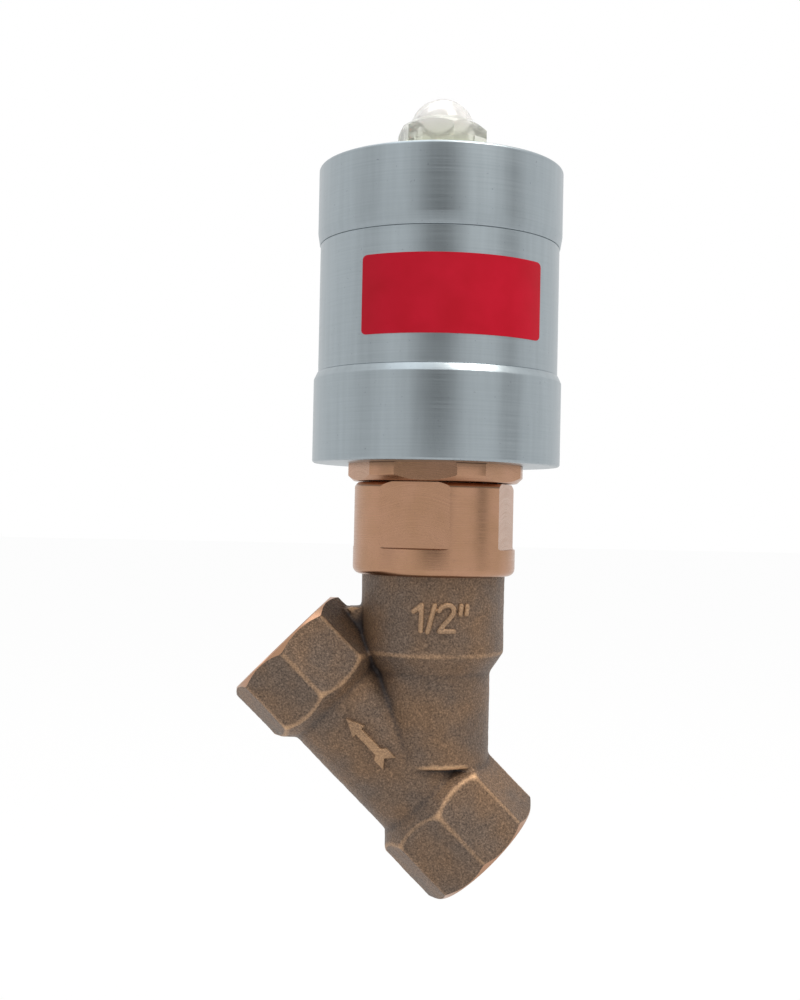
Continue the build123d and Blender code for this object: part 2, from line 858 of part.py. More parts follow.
hexagon_nuts = {
    "disc_nut": (disc_thread_r, disc_nut_across_flats, disc_nut_bottom, washer_bottom),
    "piston_nut": (piston_thread_r, piston_nut_across_flats, piston_nut_bottom, piston_nut_top),
}
for nut_name, (thread_r, across_flats, low, high) in hexagon_nuts.items():
    with BuildPart() as hexagon_nut:
        with BuildSketch(STEM.offset(low)):
            RegularPolygon(across_flats / 2, 6, major_radius=False)
            Circle(thread_r, mode=Mode.SUBTRACT)
        extrude(amount=high - low)
    finish(hexagon_nut, nut_name)

# O-rings, each given as the radius and level of its cord and the cord's own radius

cap_ring_r = bore_r - cap_o_ring_cord_r
o_rings = {
    "bottom_cap_o_ring": (cap_ring_r, o_ring_level_below, cap_o_ring_cord_r),
    "top_cap_o_ring": (cap_ring_r, o_ring_level_above, cap_o_ring_cord_r),
    "stem_o_ring": (
        stem_bore_r + stem_o_ring_cord_r,
        stem_groove_top - stem_o_ring_cord_r,
        stem_o_ring_cord_r,
    ),
    "dome_o_ring": (
        dome_thread_r + dome_o_ring_cord_r + seal_gap,
        roof_top + dome_o_ring_cord_r,
        dome_o_ring_cord_r,
    ),
}
for o_ring_name, (ring_r, ring_level, cord_r) in o_rings.items():
    with BuildPart() as o_ring:
        with BuildSketch(SECTION):
            with Locations((ring_r, ring_level)):
                Circle(cord_r)
        revolve(axis=STEM_AXIS)
    finish(o_ring, o_ring_name)

# Coil springs, each given as its mean radius, wire radius, turns and the levels it fills

coil_springs = {
    "packing_spring": (
        (stem_bore_r + packing_r) / 2,
        packing_spring_wire_r,
        packing_spring_turns,
        ring_stack_washer_top,
        gland_bottom,
    ),
    "outer_return_spring": (
        outer_spring_r,
        outer_spring_wire_r,
        outer_spring_turns,
        spring_seat,
        roof_bottom,
    ),
    "inner_return_spring": (
        inner_spring_r,
        inner_spring_wire_r,
        inner_spring_turns,
        spring_seat,
        roof_bottom,
    ),
}
for spring_name, (mean_r, wire_r, turns, low, high) in coil_springs.items():
    coil_height = high - low - 2 * wire_r
    with BuildPart() as coil_spring:
        with BuildLine(STEM.offset(low + wire_r)) as coil:
            Helix(pitch=coil_height / turns, height=coil_height, radius=mean_r)
        with BuildSketch(Plane(origin=coil.line @ 0, z_dir=coil.line % 0)):
            Circle(wire_r)
        sweep(path=coil.line, is_frenet=True)
    finish(coil_spring, spring_name)
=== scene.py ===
# %% [markdown]
# # An angle seat valve with a piston actuator
# The real valve is a bronze casting in the shape of a Y, with a turned bronze bonnet screwed
# into its neck and an aluminium actuator on top. This notebook dresses it piece by piece.
# The construction model is loaded first. It says where every piece is, so each new mesh is
# made in place, and its object stays at the origin.

# %% Load the frame
import json
from math import acos, cos, pi, radians, sin, tau

import bmesh
import bpy
from mathutils import Matrix, Vector, noise


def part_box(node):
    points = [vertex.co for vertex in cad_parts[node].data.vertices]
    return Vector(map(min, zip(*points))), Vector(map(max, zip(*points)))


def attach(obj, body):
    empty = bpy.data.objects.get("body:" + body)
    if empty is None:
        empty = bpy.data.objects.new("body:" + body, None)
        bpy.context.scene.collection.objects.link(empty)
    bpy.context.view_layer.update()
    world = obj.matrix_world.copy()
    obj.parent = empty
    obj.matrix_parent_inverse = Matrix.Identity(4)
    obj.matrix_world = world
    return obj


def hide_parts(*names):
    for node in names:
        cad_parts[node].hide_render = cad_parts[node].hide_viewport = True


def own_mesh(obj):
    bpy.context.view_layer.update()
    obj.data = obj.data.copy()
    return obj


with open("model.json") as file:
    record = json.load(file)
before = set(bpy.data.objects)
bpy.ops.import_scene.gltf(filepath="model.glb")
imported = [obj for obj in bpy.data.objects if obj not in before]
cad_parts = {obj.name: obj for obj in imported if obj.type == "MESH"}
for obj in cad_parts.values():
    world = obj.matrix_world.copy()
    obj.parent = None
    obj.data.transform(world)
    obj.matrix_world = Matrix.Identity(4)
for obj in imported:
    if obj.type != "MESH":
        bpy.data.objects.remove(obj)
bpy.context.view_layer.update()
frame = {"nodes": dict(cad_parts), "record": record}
mm = 0.001

# %% [markdown]
# ## Two axes carry the whole valve
# Nearly every piece is turned on the stem's axis or on the pipe run's axis. An axle is kept
# as its origin, the direction along it and a direction square to it. A point on a piece is
# then a radius and a level, as on a workshop drawing, and levels are heights in millimetres
# above the point where the two axes cross.

# %% Axles
inlet, outlet, pilot = (
    next(m for m in frame["record"]["mounts"] if m["name"] == name)
    for name in ("inlet_port", "outlet_port", "pilot_port")
)
top_low, top_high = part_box("top_cap")
stem_x = (top_low.x + top_high.x) / 2
run_dir = Vector(inlet["axis"])
crossing = Vector(inlet["pos_m"]) + run_dir * (stem_x - inlet["pos_m"][0]) / run_dir.x
inlet_reach = (Vector(inlet["pos_m"]) - crossing).dot(run_dir) / mm
outlet_reach = (Vector(outlet["pos_m"]) - crossing).dot(run_dir) / mm

UP = Vector((0, 0, 1))
RIGHT = Vector((1, 0, 0))
BACK = Vector((0, 1, 0))
STEM = (crossing, UP, RIGHT)
RUN = (crossing, run_dir, Vector((-run_dir.z, 0, run_dir.x)))
PILOT = (Vector((stem_x, 0, pilot["pos_m"][2])), BACK, RIGHT)


def level(node, end):
    """The level of a frame node's lower (0) or upper (1) end, in mm."""
    return (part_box(node)[end].z - crossing.z) / mm


def radius(node):
    """Half the width of a frame node, in mm."""
    low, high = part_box(node)
    return (high.x - low.x) / 2 / mm


def spot(axle, out, along):
    """The point at a radius and a level on an axle."""
    origin, axis, square = axle
    return origin + (axis * along + square * out) * mm


print("crossing at", [round(v / mm, 3) for v in crossing], "run", inlet_reach, outlet_reach)

# %% [markdown]
# ## From a bmesh to a piece
# Each piece ends the same way: doubles are merged, the faces are made to point outwards, and
# faces that meet at a small angle are shaded smooth, while real edges stay sharp. Here the
# piece is also told which body carries it and which nodes it stands for.

# %% Piece helpers
SMOOTH_ANGLE = radians(17)
MERGE = 2e-6


def to_object(bm, name, material=None):
    """A bmesh as an object at the origin, closed and turned outwards."""
    bmesh.ops.remove_doubles(bm, verts=bm.verts, dist=MERGE)
    loose = [e for e in bm.edges if not e.link_faces]
    bmesh.ops.delete(bm, geom=loose, context="EDGES")
    bmesh.ops.recalc_face_normals(bm, faces=bm.faces)
    mesh = bpy.data.meshes.new(name)
    bm.to_mesh(mesh)
    bm.free()
    made = bpy.data.objects.new(name, mesh)
    bpy.context.scene.collection.objects.link(made)
    if material:
        mesh.materials.append(material)
    mesh.set_sharp_from_angle(angle=SMOOTH_ANGLE)
    return made


def paint(made, *materials):
    """Gives an object just these materials."""
    made.data.materials.clear()
    for material in materials:
        made.data.materials.append(material)


def piece(made, body, slot, *nodes):
    """Hands a finished object to the frame."""
    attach(made, body)
    if nodes:
        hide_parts(*nodes)
    print(made.name, len(made.data.polygons), "faces, stands for", nodes or "no node")
    return made


def baked(made):
    """Applies an object's modifiers and shades it by angle again."""
    graph = bpy.context.evaluated_depsgraph_get()
    mesh = bpy.data.meshes.new_from_object(made.evaluated_get(graph))
    made.modifiers.clear()
    made.data = mesh
    mesh.set_sharp_from_angle(angle=SMOOTH_ANGLE)
    return made


def carve(made, cutter, operation="DIFFERENCE"):
    """Cuts, joins or intersects with another closed object, which is then taken away."""
    cut = made.modifiers.new("cut", "BOOLEAN")
    cut.operation = operation
    cut.solver = "MANIFOLD"
    cut.object = cutter
    baked(made)
    bpy.data.objects.remove(cutter)
    return made


# %% [markdown]
# Two operators come back in many pieces. Bevel breaks an edge, or a corner of an outline, and
# extrude pulls a flat face out into a bar. Each gets a helper, so a piece only says how much.

# %% Bevel and pull


def bevelled(bm, geom, size_mm, segments, affect="EDGES"):
    """Rounds edges, or the corners of a loose outline."""
    bmesh.ops.bevel(
        bm,
        geom=geom,
        offset=size_mm * mm,
        offset_type="OFFSET",
        segments=segments,
        profile=0.5,
        affect=affect,
        material=-1,
    )


def pulled(bm, faces, by):
    """Pulls faces out by a vector and gives the vertices of their new ends."""
    grown = bmesh.ops.extrude_face_region(bm, geom=faces)["geom"]
    tips = [g for g in grown if isinstance(g, bmesh.types.BMVert)]
    bmesh.ops.translate(bm, vec=by, verts=tips)
    return tips


# %% [markdown]
# ## Turning on a lathe
# A lathe gives a part its shape with one outline, and the spin operator does the same. The
# outline is a ring of loose vertices in the plane of the axle. A corner may carry a third
# number, which is how far it is rounded: bevelling a vertex of a loose outline puts an arc
# there, so the spun part has the small broken edges that catch the light on turned metal.

# %% Turning
STEPS = 160
CORNER_SEGMENTS = 6


def turned(name, outline, axle=STEM, material=None, steps=STEPS, closed=True):
    """Spins an outline of (radius, level) or (radius, level, rounding) corners."""
    bm = bmesh.new()
    corners = [bm.verts.new(spot(axle, c[0], c[1])) for c in outline]
    followers = corners[1:] + corners[:1] if closed else corners[1:]
    for a, b in zip(corners, followers):
        bm.edges.new((a, b))
    for corner, sizes in zip(corners, outline):
        if len(sizes) == 3:
            bevelled(bm, [corner], sizes[2], CORNER_SEGMENTS, "VERTICES")
    bmesh.ops.spin(
        bm,
        geom=bm.verts[:] + bm.edges[:],
        cent=axle[0],
        axis=axle[1],
        angle=tau,
        steps=steps,
        use_merge=True,
    )
    return to_object(bm, name, material)


def turned_rod(name, outline, axle=STEM, material=None, steps=STEPS):
    """Spins an outline whose first and last corners lie on the axle."""
    return turned(name, outline, axle, material, steps, closed=False)


def prism(name, sides, flat_r, low, high, turn=0, axle=STEM, material=None):
    """A bar with a regular outline: flat_r is half its size across flats, turn a corner's angle."""
    origin, axis, square = axle
    bm = bmesh.new()
    corner_r = flat_r * mm / cos(pi / sides)
    bmesh.ops.create_circle(bm, cap_ends=True, segments=sides, radius=corner_r)
    first_corner = Matrix.Rotation(radians(turn) - pi / 2, 3, "Z")
    bmesh.ops.rotate(bm, cent=(0, 0, 0), matrix=first_corner, verts=bm.verts)
    pulled(bm, bm.faces[:], (0, 0, (high - low) * mm))
    bmesh.ops.translate(bm, vec=(0, 0, low * mm), verts=bm.verts)
    place = Matrix((square, axis.cross(square), axis)).transposed().to_4x4()
    place.translation = origin
    bmesh.ops.transform(bm, matrix=place, verts=bm.verts)
    return to_object(bm, name, material)


# %% [markdown]
# ## Camera and studio
# The camera stands where the photographer stood: nearly level with the actuator's foot, close
# by, and turned a degree so that the stem leans a little. Its height and distance are measured
# from the crossing of the two axes.

# %% Camera
FOCAL_PX = 1300
FRAME_PX = 1000
SENSOR_MM = 36
CAMERA_PLACE_MM = (-7.2, -269.0, 57.3)
CAMERA_RISE = 90.66
CAMERA_LEAN = 1.17
NEAREST = 10 * mm
FURTHEST = 20
camera_data = bpy.data.cameras.new("camera")
camera_data.sensor_width = SENSOR_MM
camera_data.lens = FOCAL_PX * SENSOR_MM / FRAME_PX
camera = bpy.data.objects.new("camera", camera_data)
bpy.context.scene.collection.objects.link(camera)
bpy.context.scene.camera = camera
camera_place = crossing + Vector(CAMERA_PLACE_MM) * mm
look_up = Matrix.Rotation(radians(CAMERA_RISE), 4, "X")
lean = Matrix.Rotation(radians(CAMERA_LEAN), 4, "Z")
camera.matrix_world = Matrix.Translation(camera_place) @ look_up @ lean
camera_data.clip_start = NEAREST
camera_data.clip_end = FURTHEST
print("lens", round(camera_data.lens, 1), "mm")

# %% [markdown]
# Light and finishes are both built from shader nodes. A few helpers add a node with its
# settings and its links in one line, so that a finish reads like a recipe.

# %% Node helpers


def node(tree, kind, inputs=None, **settings):
    """Adds a shader node, with its settings and its sockets given as values or links."""
    made = tree.nodes.new("ShaderNode" + kind)
    for key, value in settings.items():
        setattr(made, key, value)
    for key, value in (inputs or {}).items():
        if isinstance(value, bpy.types.NodeSocket):
            tree.links.new(value, made.inputs[key])
        else:
            made.inputs[key].default_value = value
    return made


def math(tree, operation, a, b=0.0):
    """A math node's result."""
    return node(tree, "Math", {0: a, 1: b}, operation=operation).outputs[0]


def ramp(tree, factor, stops):
    """A colour ramp over (position, colour) stops. A colour may be one grey number."""
    made = node(tree, "ValToRGB", {"Fac": factor})
    elements = made.color_ramp.elements
    while len(elements) < len(stops):
        elements.new(0.5)
    for element, (position, colour) in zip(elements, stops):
        element.position = position
        rgb = (colour,) * 3 if isinstance(colour, (int, float)) else colour
        element.color = (*rgb, 1)
    return made.outputs["Color"]


def blend(tree, factor, a, b, blend_type="MIX"):
    """Mixes two colours by a pattern."""
    made = node(tree, "Mix", {"Factor": factor}, data_type="RGBA", blend_type=blend_type)
    for key, colour in (("A", a), ("B", b)):
        socket = next(s for s in made.inputs if s.name == key and s.type == "RGBA")
        if isinstance(colour, bpy.types.NodeSocket):
            tree.links.new(colour, socket)
        else:
            socket.default_value = (*colour, 1)
    return next(s for s in made.outputs if s.type == "RGBA")


# %% [markdown]
# The room is plain white. A world shader may ask what kind of ray looks at it, so rays from
# the camera, reflections in metal and rays through the clear dome see pure white, and the
# light that falls on the valve is a little softer than that.

# %% World
ROOM_STRENGTH = 0.72
world = bpy.data.worlds.new("studio")
bpy.context.scene.world = world
world.use_nodes = True
tree = world.node_tree
tree.nodes.clear()
room_light = node(tree, "Background", {"Color": (1, 1, 1, 1), "Strength": ROOM_STRENGTH})
white = node(tree, "Background", {"Color": (1, 1, 1, 1), "Strength": 1.0})


def sees_background(tree):
    """1 for rays that look at the background: from the camera, off metal or through glass."""
    path = node(tree, "LightPath")
    direct = math(tree, "MAXIMUM", path.outputs["Is Camera Ray"], path.outputs["Is Glossy Ray"])
    return math(tree, "MAXIMUM", direct, path.outputs["Is Transmission Ray"])


background = sees_background(tree)
both = node(tree, "MixShader", {0: background, 1: room_light.outputs[0], 2: white.outputs[0]})
node(tree, "OutputWorld", {"Surface": both.outputs[0]})
print("room light", ROOM_STRENGTH)

# %% [markdown]
# Three lamps hang high over the valve: a warm one on the right, a weaker cool one on the left
# and one nearly overhead. They make the casting's right side lighter and leave the octagon
# flats that look down dark. So high up, they also stay out of the mirror of the turned sides.

# %% Lamps
AIM = crossing + UP * 50 * mm
# name, place from the aim in metres, size in metres, power in watts, colour
LAMPS = [
    ("key", (0.34, -0.30, 0.80), 0.35, 5.0, (1.0, 0.95, 0.88)),
    ("fill", (-0.30, -0.35, 0.80), 0.5, 0.8, (0.92, 0.96, 1.0)),
    ("top", (-0.05, 0.15, 0.7), 0.5, 1.2, (1.0, 1.0, 1.0)),
]
for name, place, size, power, colour in LAMPS:
    data = bpy.data.lights.new(name, "AREA")
    data.shape = "SQUARE"
    data.size = size
    data.energy = power
    data.color = colour
    lamp = bpy.data.objects.new(name, data)
    bpy.context.scene.collection.objects.link(lamp)
    lamp.location = AIM + Vector(place)
    lamp.rotation_euler = (-Vector(place)).to_track_quat("-Z", "Y").to_euler()
print("lamps", len(LAMPS))

# %% [markdown]
# The floor is pale and matt. Rays that look at the background see it mostly as plain white,
# and the small rest is the lit floor, so the valve still casts a faint shadow on it.

# %% Floor
FLOOR_DROP = 75 * mm
FLOOR_SIZE = 6
FLOOR_GREY = 0.92
FLOOR_WHITE_SHARE = 0.94
bm = bmesh.new()
bmesh.ops.create_grid(bm, x_segments=1, y_segments=1, size=FLOOR_SIZE)
bmesh.ops.translate(bm, vec=crossing - UP * (FLOOR_DROP + crossing.z), verts=bm.verts)
floor = to_object(bm, "floor")
floor_paint = bpy.data.materials.new("pale floor")
floor_paint.use_nodes = True
tree = floor_paint.node_tree
tree.nodes.clear()
matt = node(tree, "BsdfDiffuse", {"Color": (FLOOR_GREY, FLOOR_GREY, FLOOR_GREY, 1)})
glow = node(tree, "Emission", {"Color": (1, 1, 1, 1), "Strength": 1.0})
share = math(tree, "MULTIPLY", sees_background(tree), FLOOR_WHITE_SHARE)
mixed = node(tree, "MixShader", {0: share, 1: matt.outputs[0], 2: glow.outputs[0]})
node(tree, "OutputMaterial", {"Surface": mixed.outputs[0]})
floor.data.materials.append(floor_paint)
bpy.context.scene.view_settings.view_transform = "Standard"
print("floor", FLOOR_SIZE, "m either way")

# %% [markdown]
# In a white room, turned metal looks flat. A photographer stands dark cards round the set, out
# of the picture, and their reflections draw the soft dark bands that show a round surface. Each
# card here is an arc about the stem, made by spinning one upright edge. Its angles run from the
# photographer's side, and it only shows in reflections.

# %% Dark cards
CARD_LOW = -0.08
CARD_HIGH = 0.95
CARD_STEPS = 12
# name, first and last angle in degrees, distance in metres, grey
CARDS = [
    ("front_soft", -26, 20, 1.30, 0.62),
    ("front_dark", -15, 12, 1.25, 0.22),
    ("right_soft", 58, 78, 1.30, 0.66),
    ("right_dark", 64, 72, 1.25, 0.36),
    ("left_soft", -80, -58, 1.30, 0.74),
]
for name, start, end, distance, grey in CARDS:
    bm = bmesh.new()
    toward = Vector((sin(radians(start)), -cos(radians(start)), 0)) * distance
    ends = [bm.verts.new(crossing + toward + UP * height) for height in (CARD_LOW, CARD_HIGH)]
    upright = bm.edges.new(ends)
    bmesh.ops.spin(
        bm,
        geom=[*ends, upright],
        cent=crossing,
        axis=UP,
        angle=radians(end - start),
        steps=CARD_STEPS,
        use_merge=False,
    )
    card = to_object(bm, name)
    cloth = bpy.data.materials.new(name)
    cloth.use_nodes = True
    tree = cloth.node_tree
    tree.nodes.clear()
    plain = node(tree, "Emission", {"Color": (grey, grey, grey, 1), "Strength": 1.0})
    node(tree, "OutputMaterial", {"Surface": plain.outputs[0]})
    paint(card, cloth)
    card.visible_camera = False
    card.visible_diffuse = False
    card.visible_shadow = False
    card.visible_transmission = False
print("cards", len(CARDS))

# %% [markdown]
# ## Finishes
# Every finish is a principled shader with its pattern worked out from Object coordinates.
# A Mapping node moves the pattern's origin to the stem's axis, so lathe marks run round it.

# %% Finish helpers
AXIS_LIMIT = 1e-5
NOISE_LOW = 0.25
NOISE_HIGH = 0.75


def finish(name, **sockets):
    """A material, its node tree and its shader, with plain values on the sockets."""
    made = bpy.data.materials.new(name)
    made.use_nodes = True
    tree = made.node_tree
    shader = tree.nodes["Principled BSDF"]
    for key, value in sockets.items():
        shader.inputs[key.replace("_", " ")].default_value = value
    return made, tree, shader


def centred(tree):
    """Object coordinates in metres from the crossing."""
    there = node(tree, "TexCoord").outputs["Object"]
    return node(tree, "Mapping", {"Vector": there, "Location": -crossing}).outputs[0]


def grain(tree, where, size_mm, detail=2.0, stretch=(1, 1, 1), roughness=0.5):
    """Noise whose features are about size_mm across. Stretch divides its scale along an axis."""
    scale = [1 / (size_mm * mm * s) for s in stretch]
    fine = node(tree, "Mapping", {"Vector": where, "Scale": scale}).outputs[0]
    inputs = {"Vector": fine, "Scale": 1.0, "Detail": detail, "Roughness": roughness}
    return node(tree, "TexNoise", inputs).outputs["Fac"]


def lathe_marks(tree, where, pitch_mm, waviness=1.2):
    """Noise in rings round the stem: it changes with the level and the radius."""
    axes = node(tree, "SeparateXYZ", {0: where})
    x, y, z = (axes.outputs[key] for key in "XYZ")
    squares = [math(tree, "MULTIPLY", part, part) for part in (x, y)]
    out = math(tree, "SQRT", math(tree, "ADD", *squares))
    safe = math(tree, "MAXIMUM", out, AXIS_LIMIT)
    rings = math(tree, "MULTIPLY", math(tree, "ADD", out, z), 1 / (pitch_mm * mm))
    across = math(tree, "MULTIPLY", math(tree, "DIVIDE", x, safe), waviness)
    around = math(tree, "MULTIPLY", math(tree, "DIVIDE", y, safe), waviness)
    point = node(tree, "CombineXYZ", {0: across, 1: around, 2: rings}).outputs[0]
    return node(tree, "TexNoise", {"Vector": point, "Scale": 1.0, "Detail": 3.0}).outputs["Fac"]


def bump(tree, shader, height, depth_mm, strength):
    """Adds a bump of a real depth to a shader."""
    inputs = {"Height": height, "Distance": depth_mm * mm, "Strength": strength}
    tree.links.new(node(tree, "Bump", inputs).outputs[0], shader.inputs["Normal"])


def tint(tree, shader, colour):
    """Links a colour pattern to a shader."""
    tree.links.new(colour, shader.inputs["Base Color"])


def polish(tree, shader, pattern, low, high):
    """Links a roughness that runs from low to high with a pattern."""
    inputs = {"Value": pattern, "From Min": NOISE_LOW, "From Max": NOISE_HIGH}
    made = node(tree, "MapRange", {**inputs, "To Min": low, "To Max": high})
    tree.links.new(made.outputs[0], shader.inputs["Roughness"])


# %% [markdown]
# The casting is bronze poured in sand. Its skin is dull brown with a fine grain, and where
# hands and boxes rub it, on corners and on the tips of the grain, the metal shines golden.
# Each cast piece carries an attribute called wear, which is 1 where its edges are rubbed. The
# casting has another called hollow, which is 1 in the creases, where painted shade darkens
# the colour nearly to black.


# %% Cast bronze
def cast_bronze():
    """Dull sandy skin, rubbed bright on edges, with painted shade in the creases."""
    made, tree, shader = finish("cast bronze", Metallic=0.5, Specular_IOR_Level=0.4)
    where = centred(tree)
    sand = grain(tree, where, 0.36, detail=3.0, roughness=0.6)
    clouds = grain(tree, where, 9.0, detail=2.0)
    skin = ramp(
        tree,
        sand,
        [(0.28, (0.078, 0.054, 0.038)), (0.5, (0.160, 0.109, 0.075)), (0.72, (0.29, 0.20, 0.135))],
    )
    warm = ramp(tree, clouds, [(0.35, (0.82, 0.85, 0.92)), (0.65, (1.12, 1.0, 0.86))])
    toned = blend(tree, 1.0, skin, warm, "MULTIPLY")
    sharp = node(tree, "Attribute", attribute_name="wear").outputs["Fac"]
    drift = grain(tree, where, 14.0, detail=1.0)
    uneven = math(tree, "ADD", drift, math(tree, "MULTIPLY", sand, 0.8))
    patchy = math(tree, "MULTIPLY", sharp, uneven)
    rubbed = ramp(tree, patchy, [(0.30, 0.0), (1.05, 0.8)])
    hollow = node(tree, "Attribute", attribute_name="hollow").outputs["Fac"]
    # Painted shade: where hollow is high, in the creases, the colour goes nearly black.
    crease_shade = ramp(tree, hollow, [(0.10, 0.0), (0.9, 0.88)])
    crease_shaded = blend(tree, crease_shade, toned, (0.020, 0.020, 0.024))
    tint(tree, shader, blend(tree, rubbed, crease_shaded, (0.66, 0.41, 0.23)))
    polish(tree, shader, sand, 0.60, 0.42)
    bump(tree, shader, sand, 0.16, 0.8)
    return made


CAST = cast_bronze()

# %% [markdown]
# Turned bronze has the same metal without its skin. Fine rings from the tool run round the
# stem, and the colour drifts a little between orange and pink.


# %% Machined bronze
def machined_bronze():
    """Fine tool rings, drifting colour and a few scuffs."""
    made, tree, shader = finish("machined bronze", Metallic=1.0)
    where = centred(tree)
    rings = lathe_marks(tree, where, 0.22)
    clouds = grain(tree, where, 7.0)
    scuffs = grain(tree, where, 0.7, detail=4.0, roughness=0.7)
    metal = ramp(tree, clouds, [(0.3, (0.40, 0.225, 0.132)), (0.7, (0.46, 0.258, 0.165))])
    soiled = ramp(tree, scuffs, [(0.56, 0.0), (0.75, 0.35)])
    tint(tree, shader, blend(tree, soiled, metal, (0.26, 0.15, 0.11)))
    polish(tree, shader, rings, 0.22, 0.34)
    bump(tree, shader, rings, 0.012, 0.6)
    return made


BRONZE = machined_bronze()

# %% [markdown]
# The actuator is turned aluminium with a matt anodised skin. It has faint rings, fainter
# streaks down its sides, and a few small nicks from handling.


# %% Anodised aluminium
def anodised_aluminium():
    """Matt grey blue with faint rings, streaks and nicks."""
    made, tree, shader = finish("anodised aluminium", Metallic=1.0)
    where = centred(tree)
    rings = lathe_marks(tree, where, 0.3)
    streaks = grain(tree, where, 1.3, detail=2.0, stretch=(1, 1, 14))
    nicks = grain(tree, where, 0.55, detail=1.0)
    metal = ramp(tree, rings, [(0.3, (0.345, 0.392, 0.418)), (0.7, (0.38, 0.428, 0.455))])
    streaked = ramp(tree, streaks, [(0.3, 0.93), (0.7, 1.0)])
    toned = blend(tree, 1.0, metal, streaked, "MULTIPLY")
    marked = ramp(tree, nicks, [(0.745, 0.0), (0.775, 0.6)])
    tint(tree, shader, blend(tree, marked, toned, (0.20, 0.22, 0.25)))
    polish(tree, shader, rings, 0.29, 0.38)
    bump(tree, shader, rings, 0.005, 0.5)
    return made


ALUMINIUM = anodised_aluminium()

# %% [markdown]
# The clear dome is yellowed at its foot, where the plastic is thick and old, and nearly
# colourless at its crown, so its colour follows the height. The label is a flat red with
# little shine. The inner pieces share one simple finish with two tones each.

# %% Other finishes
YELLOWED_LEVEL = 130.0
CLEAR_LEVEL = 139.5


def clear_plastic():
    """Clear, faintly scuffed plastic, yellow at its foot."""
    made, tree, shader = finish("clear dome", Transmission_Weight=0.72, IOR=1.45)
    where = centred(tree)
    height = node(tree, "SeparateXYZ", {0: where}).outputs["Z"]
    ends = {"From Min": YELLOWED_LEVEL * mm, "From Max": CLEAR_LEVEL * mm}
    share = node(tree, "MapRange", {"Value": height, **ends}).outputs[0]
    aged = ramp(tree, share, [(0.2, (0.80, 0.83, 0.66)), (0.9, (0.97, 0.96, 0.94))])
    tint(tree, shader, aged)
    scuffs = grain(tree, where, 1.5, detail=4.0)
    polish(tree, shader, scuffs, 0.08, 0.18)
    return made


def label_red():
    """A flat red, a little cloudy."""
    made, tree, shader = finish("red label", Specular_IOR_Level=0.15)
    where = centred(tree)
    clouds = grain(tree, where, 6.0)
    tint(tree, shader, ramp(tree, clouds, [(0.3, (0.38, 0.0, 0.011)), (0.7, (0.43, 0.001, 0.016))]))
    polish(tree, shader, clouds, 0.42, 0.52)
    bump(tree, shader, grain(tree, where, 0.5, detail=3.0), 0.01, 0.4)
    return made


def plain_finish(name, dark, light, metallic, rough, size_mm=0.5, rings_mm=None):
    """A finish for the inner pieces: two tones, uneven polish and a little relief."""
    made, tree, shader = finish(name, Metallic=metallic)
    where = centred(tree)
    if rings_mm:
        pattern = lathe_marks(tree, where, rings_mm)
    else:
        pattern = grain(tree, where, size_mm, detail=3.0)
    tint(tree, shader, ramp(tree, pattern, [(0.3, dark), (0.7, light)]))
    polish(tree, shader, pattern, rough * 0.85, rough * 1.15)
    bump(tree, shader, pattern, 0.02, 0.5)
    return made


CLEAR = clear_plastic()
RED = label_red()

# name, dark tone, light tone, metallic, roughness, and the size of its grain or rings in mm
PLAIN = [
    ("stainless steel", (0.46, 0.45, 0.43), (0.56, 0.55, 0.53), 1.0, 0.28, {"rings_mm": 0.2}),
    ("disc brass", (0.52, 0.38, 0.16), (0.62, 0.46, 0.21), 1.0, 0.32, {"rings_mm": 0.2}),
    ("piston aluminium", (0.56, 0.57, 0.58), (0.66, 0.67, 0.68), 1.0, 0.36, {"rings_mm": 0.25}),
    ("white ring plastic", (0.72, 0.72, 0.70), (0.82, 0.82, 0.80), 0.0, 0.5, {}),
    ("spring steel", (0.30, 0.30, 0.31), (0.42, 0.42, 0.43), 1.0, 0.35, {}),
    ("black rubber", (0.012, 0.012, 0.012), (0.03, 0.03, 0.03), 0.0, 0.62, {"size_mm": 0.3}),
    ("indicator plastic", (0.55, 0.02, 0.015), (0.65, 0.035, 0.02), 0.0, 0.4, {}),
    ("sintered bronze", (0.22, 0.14, 0.08), (0.48, 0.32, 0.18), 0.9, 0.55, {"size_mm": 0.18}),
]
STEEL, BRASS, PISTON, WHITE, SPRING, RUBBER, INDICATOR, FILTER = (
    plain_finish(*tones, **size) for *tones, size in PLAIN
)
print("finishes", [material.name for material in (CAST, BRONZE, ALUMINIUM, CLEAR, RED)])

# %% [markdown]
# ## The casting
# On the real valve this is one piece: the pipe, its two octagon ends, the neck, and the soft
# fillets that a sand mould leaves between them. Plain shapes are made for each, overlapping,
# and a voxel remesh melts them into one skin. Smoothing that skin rounds every corner the way
# a casting does. The machined faces are cut afterwards, so they stay flat and sharp.

# %% Casting blank
PIPE_R = 11.4
END_FLAT_R = 13.5
END_CORNER_R = END_FLAT_R / cos(pi / 8)
INLET_CORNERS = 14.3
OUTLET_CORNERS = 12.7
END_FACE_R = 13.3
SPARE = 1.6
NECK_LOW = 7.0
NECK_LOWER_R = 12.0
NECK_UPPER_R = 14.7
TAPER_LOW = 25.4
TAPER_HIGH = 29.6
PIPE_START = -32
PIPE_END = 6
CAST_STEPS = 96
neck_top = level("valve_body", 1)


def octagon_end(name, face, inward, corner_length):
    """An octagon with a spare length past its face and a cone down to the pipe."""
    shoulder = face + inward * corner_length
    pipe_start = shoulder + inward * (END_CORNER_R - PIPE_R)
    ends = sorted((face - inward * SPARE, pipe_start + inward))
    end = prism(name, 8, END_FLAT_R, *ends, axle=RUN)
    cone = [
        (0, face - inward * 2 * SPARE),
        (END_CORNER_R + 1, face - inward * 2 * SPARE),
        (END_CORNER_R + 1, shoulder - inward),
        (PIPE_R, pipe_start),
        (0, pipe_start + inward * 0.5),
    ]
    return carve(end, turned_rod("cone", cone, axle=RUN, steps=CAST_STEPS), "INTERSECT")


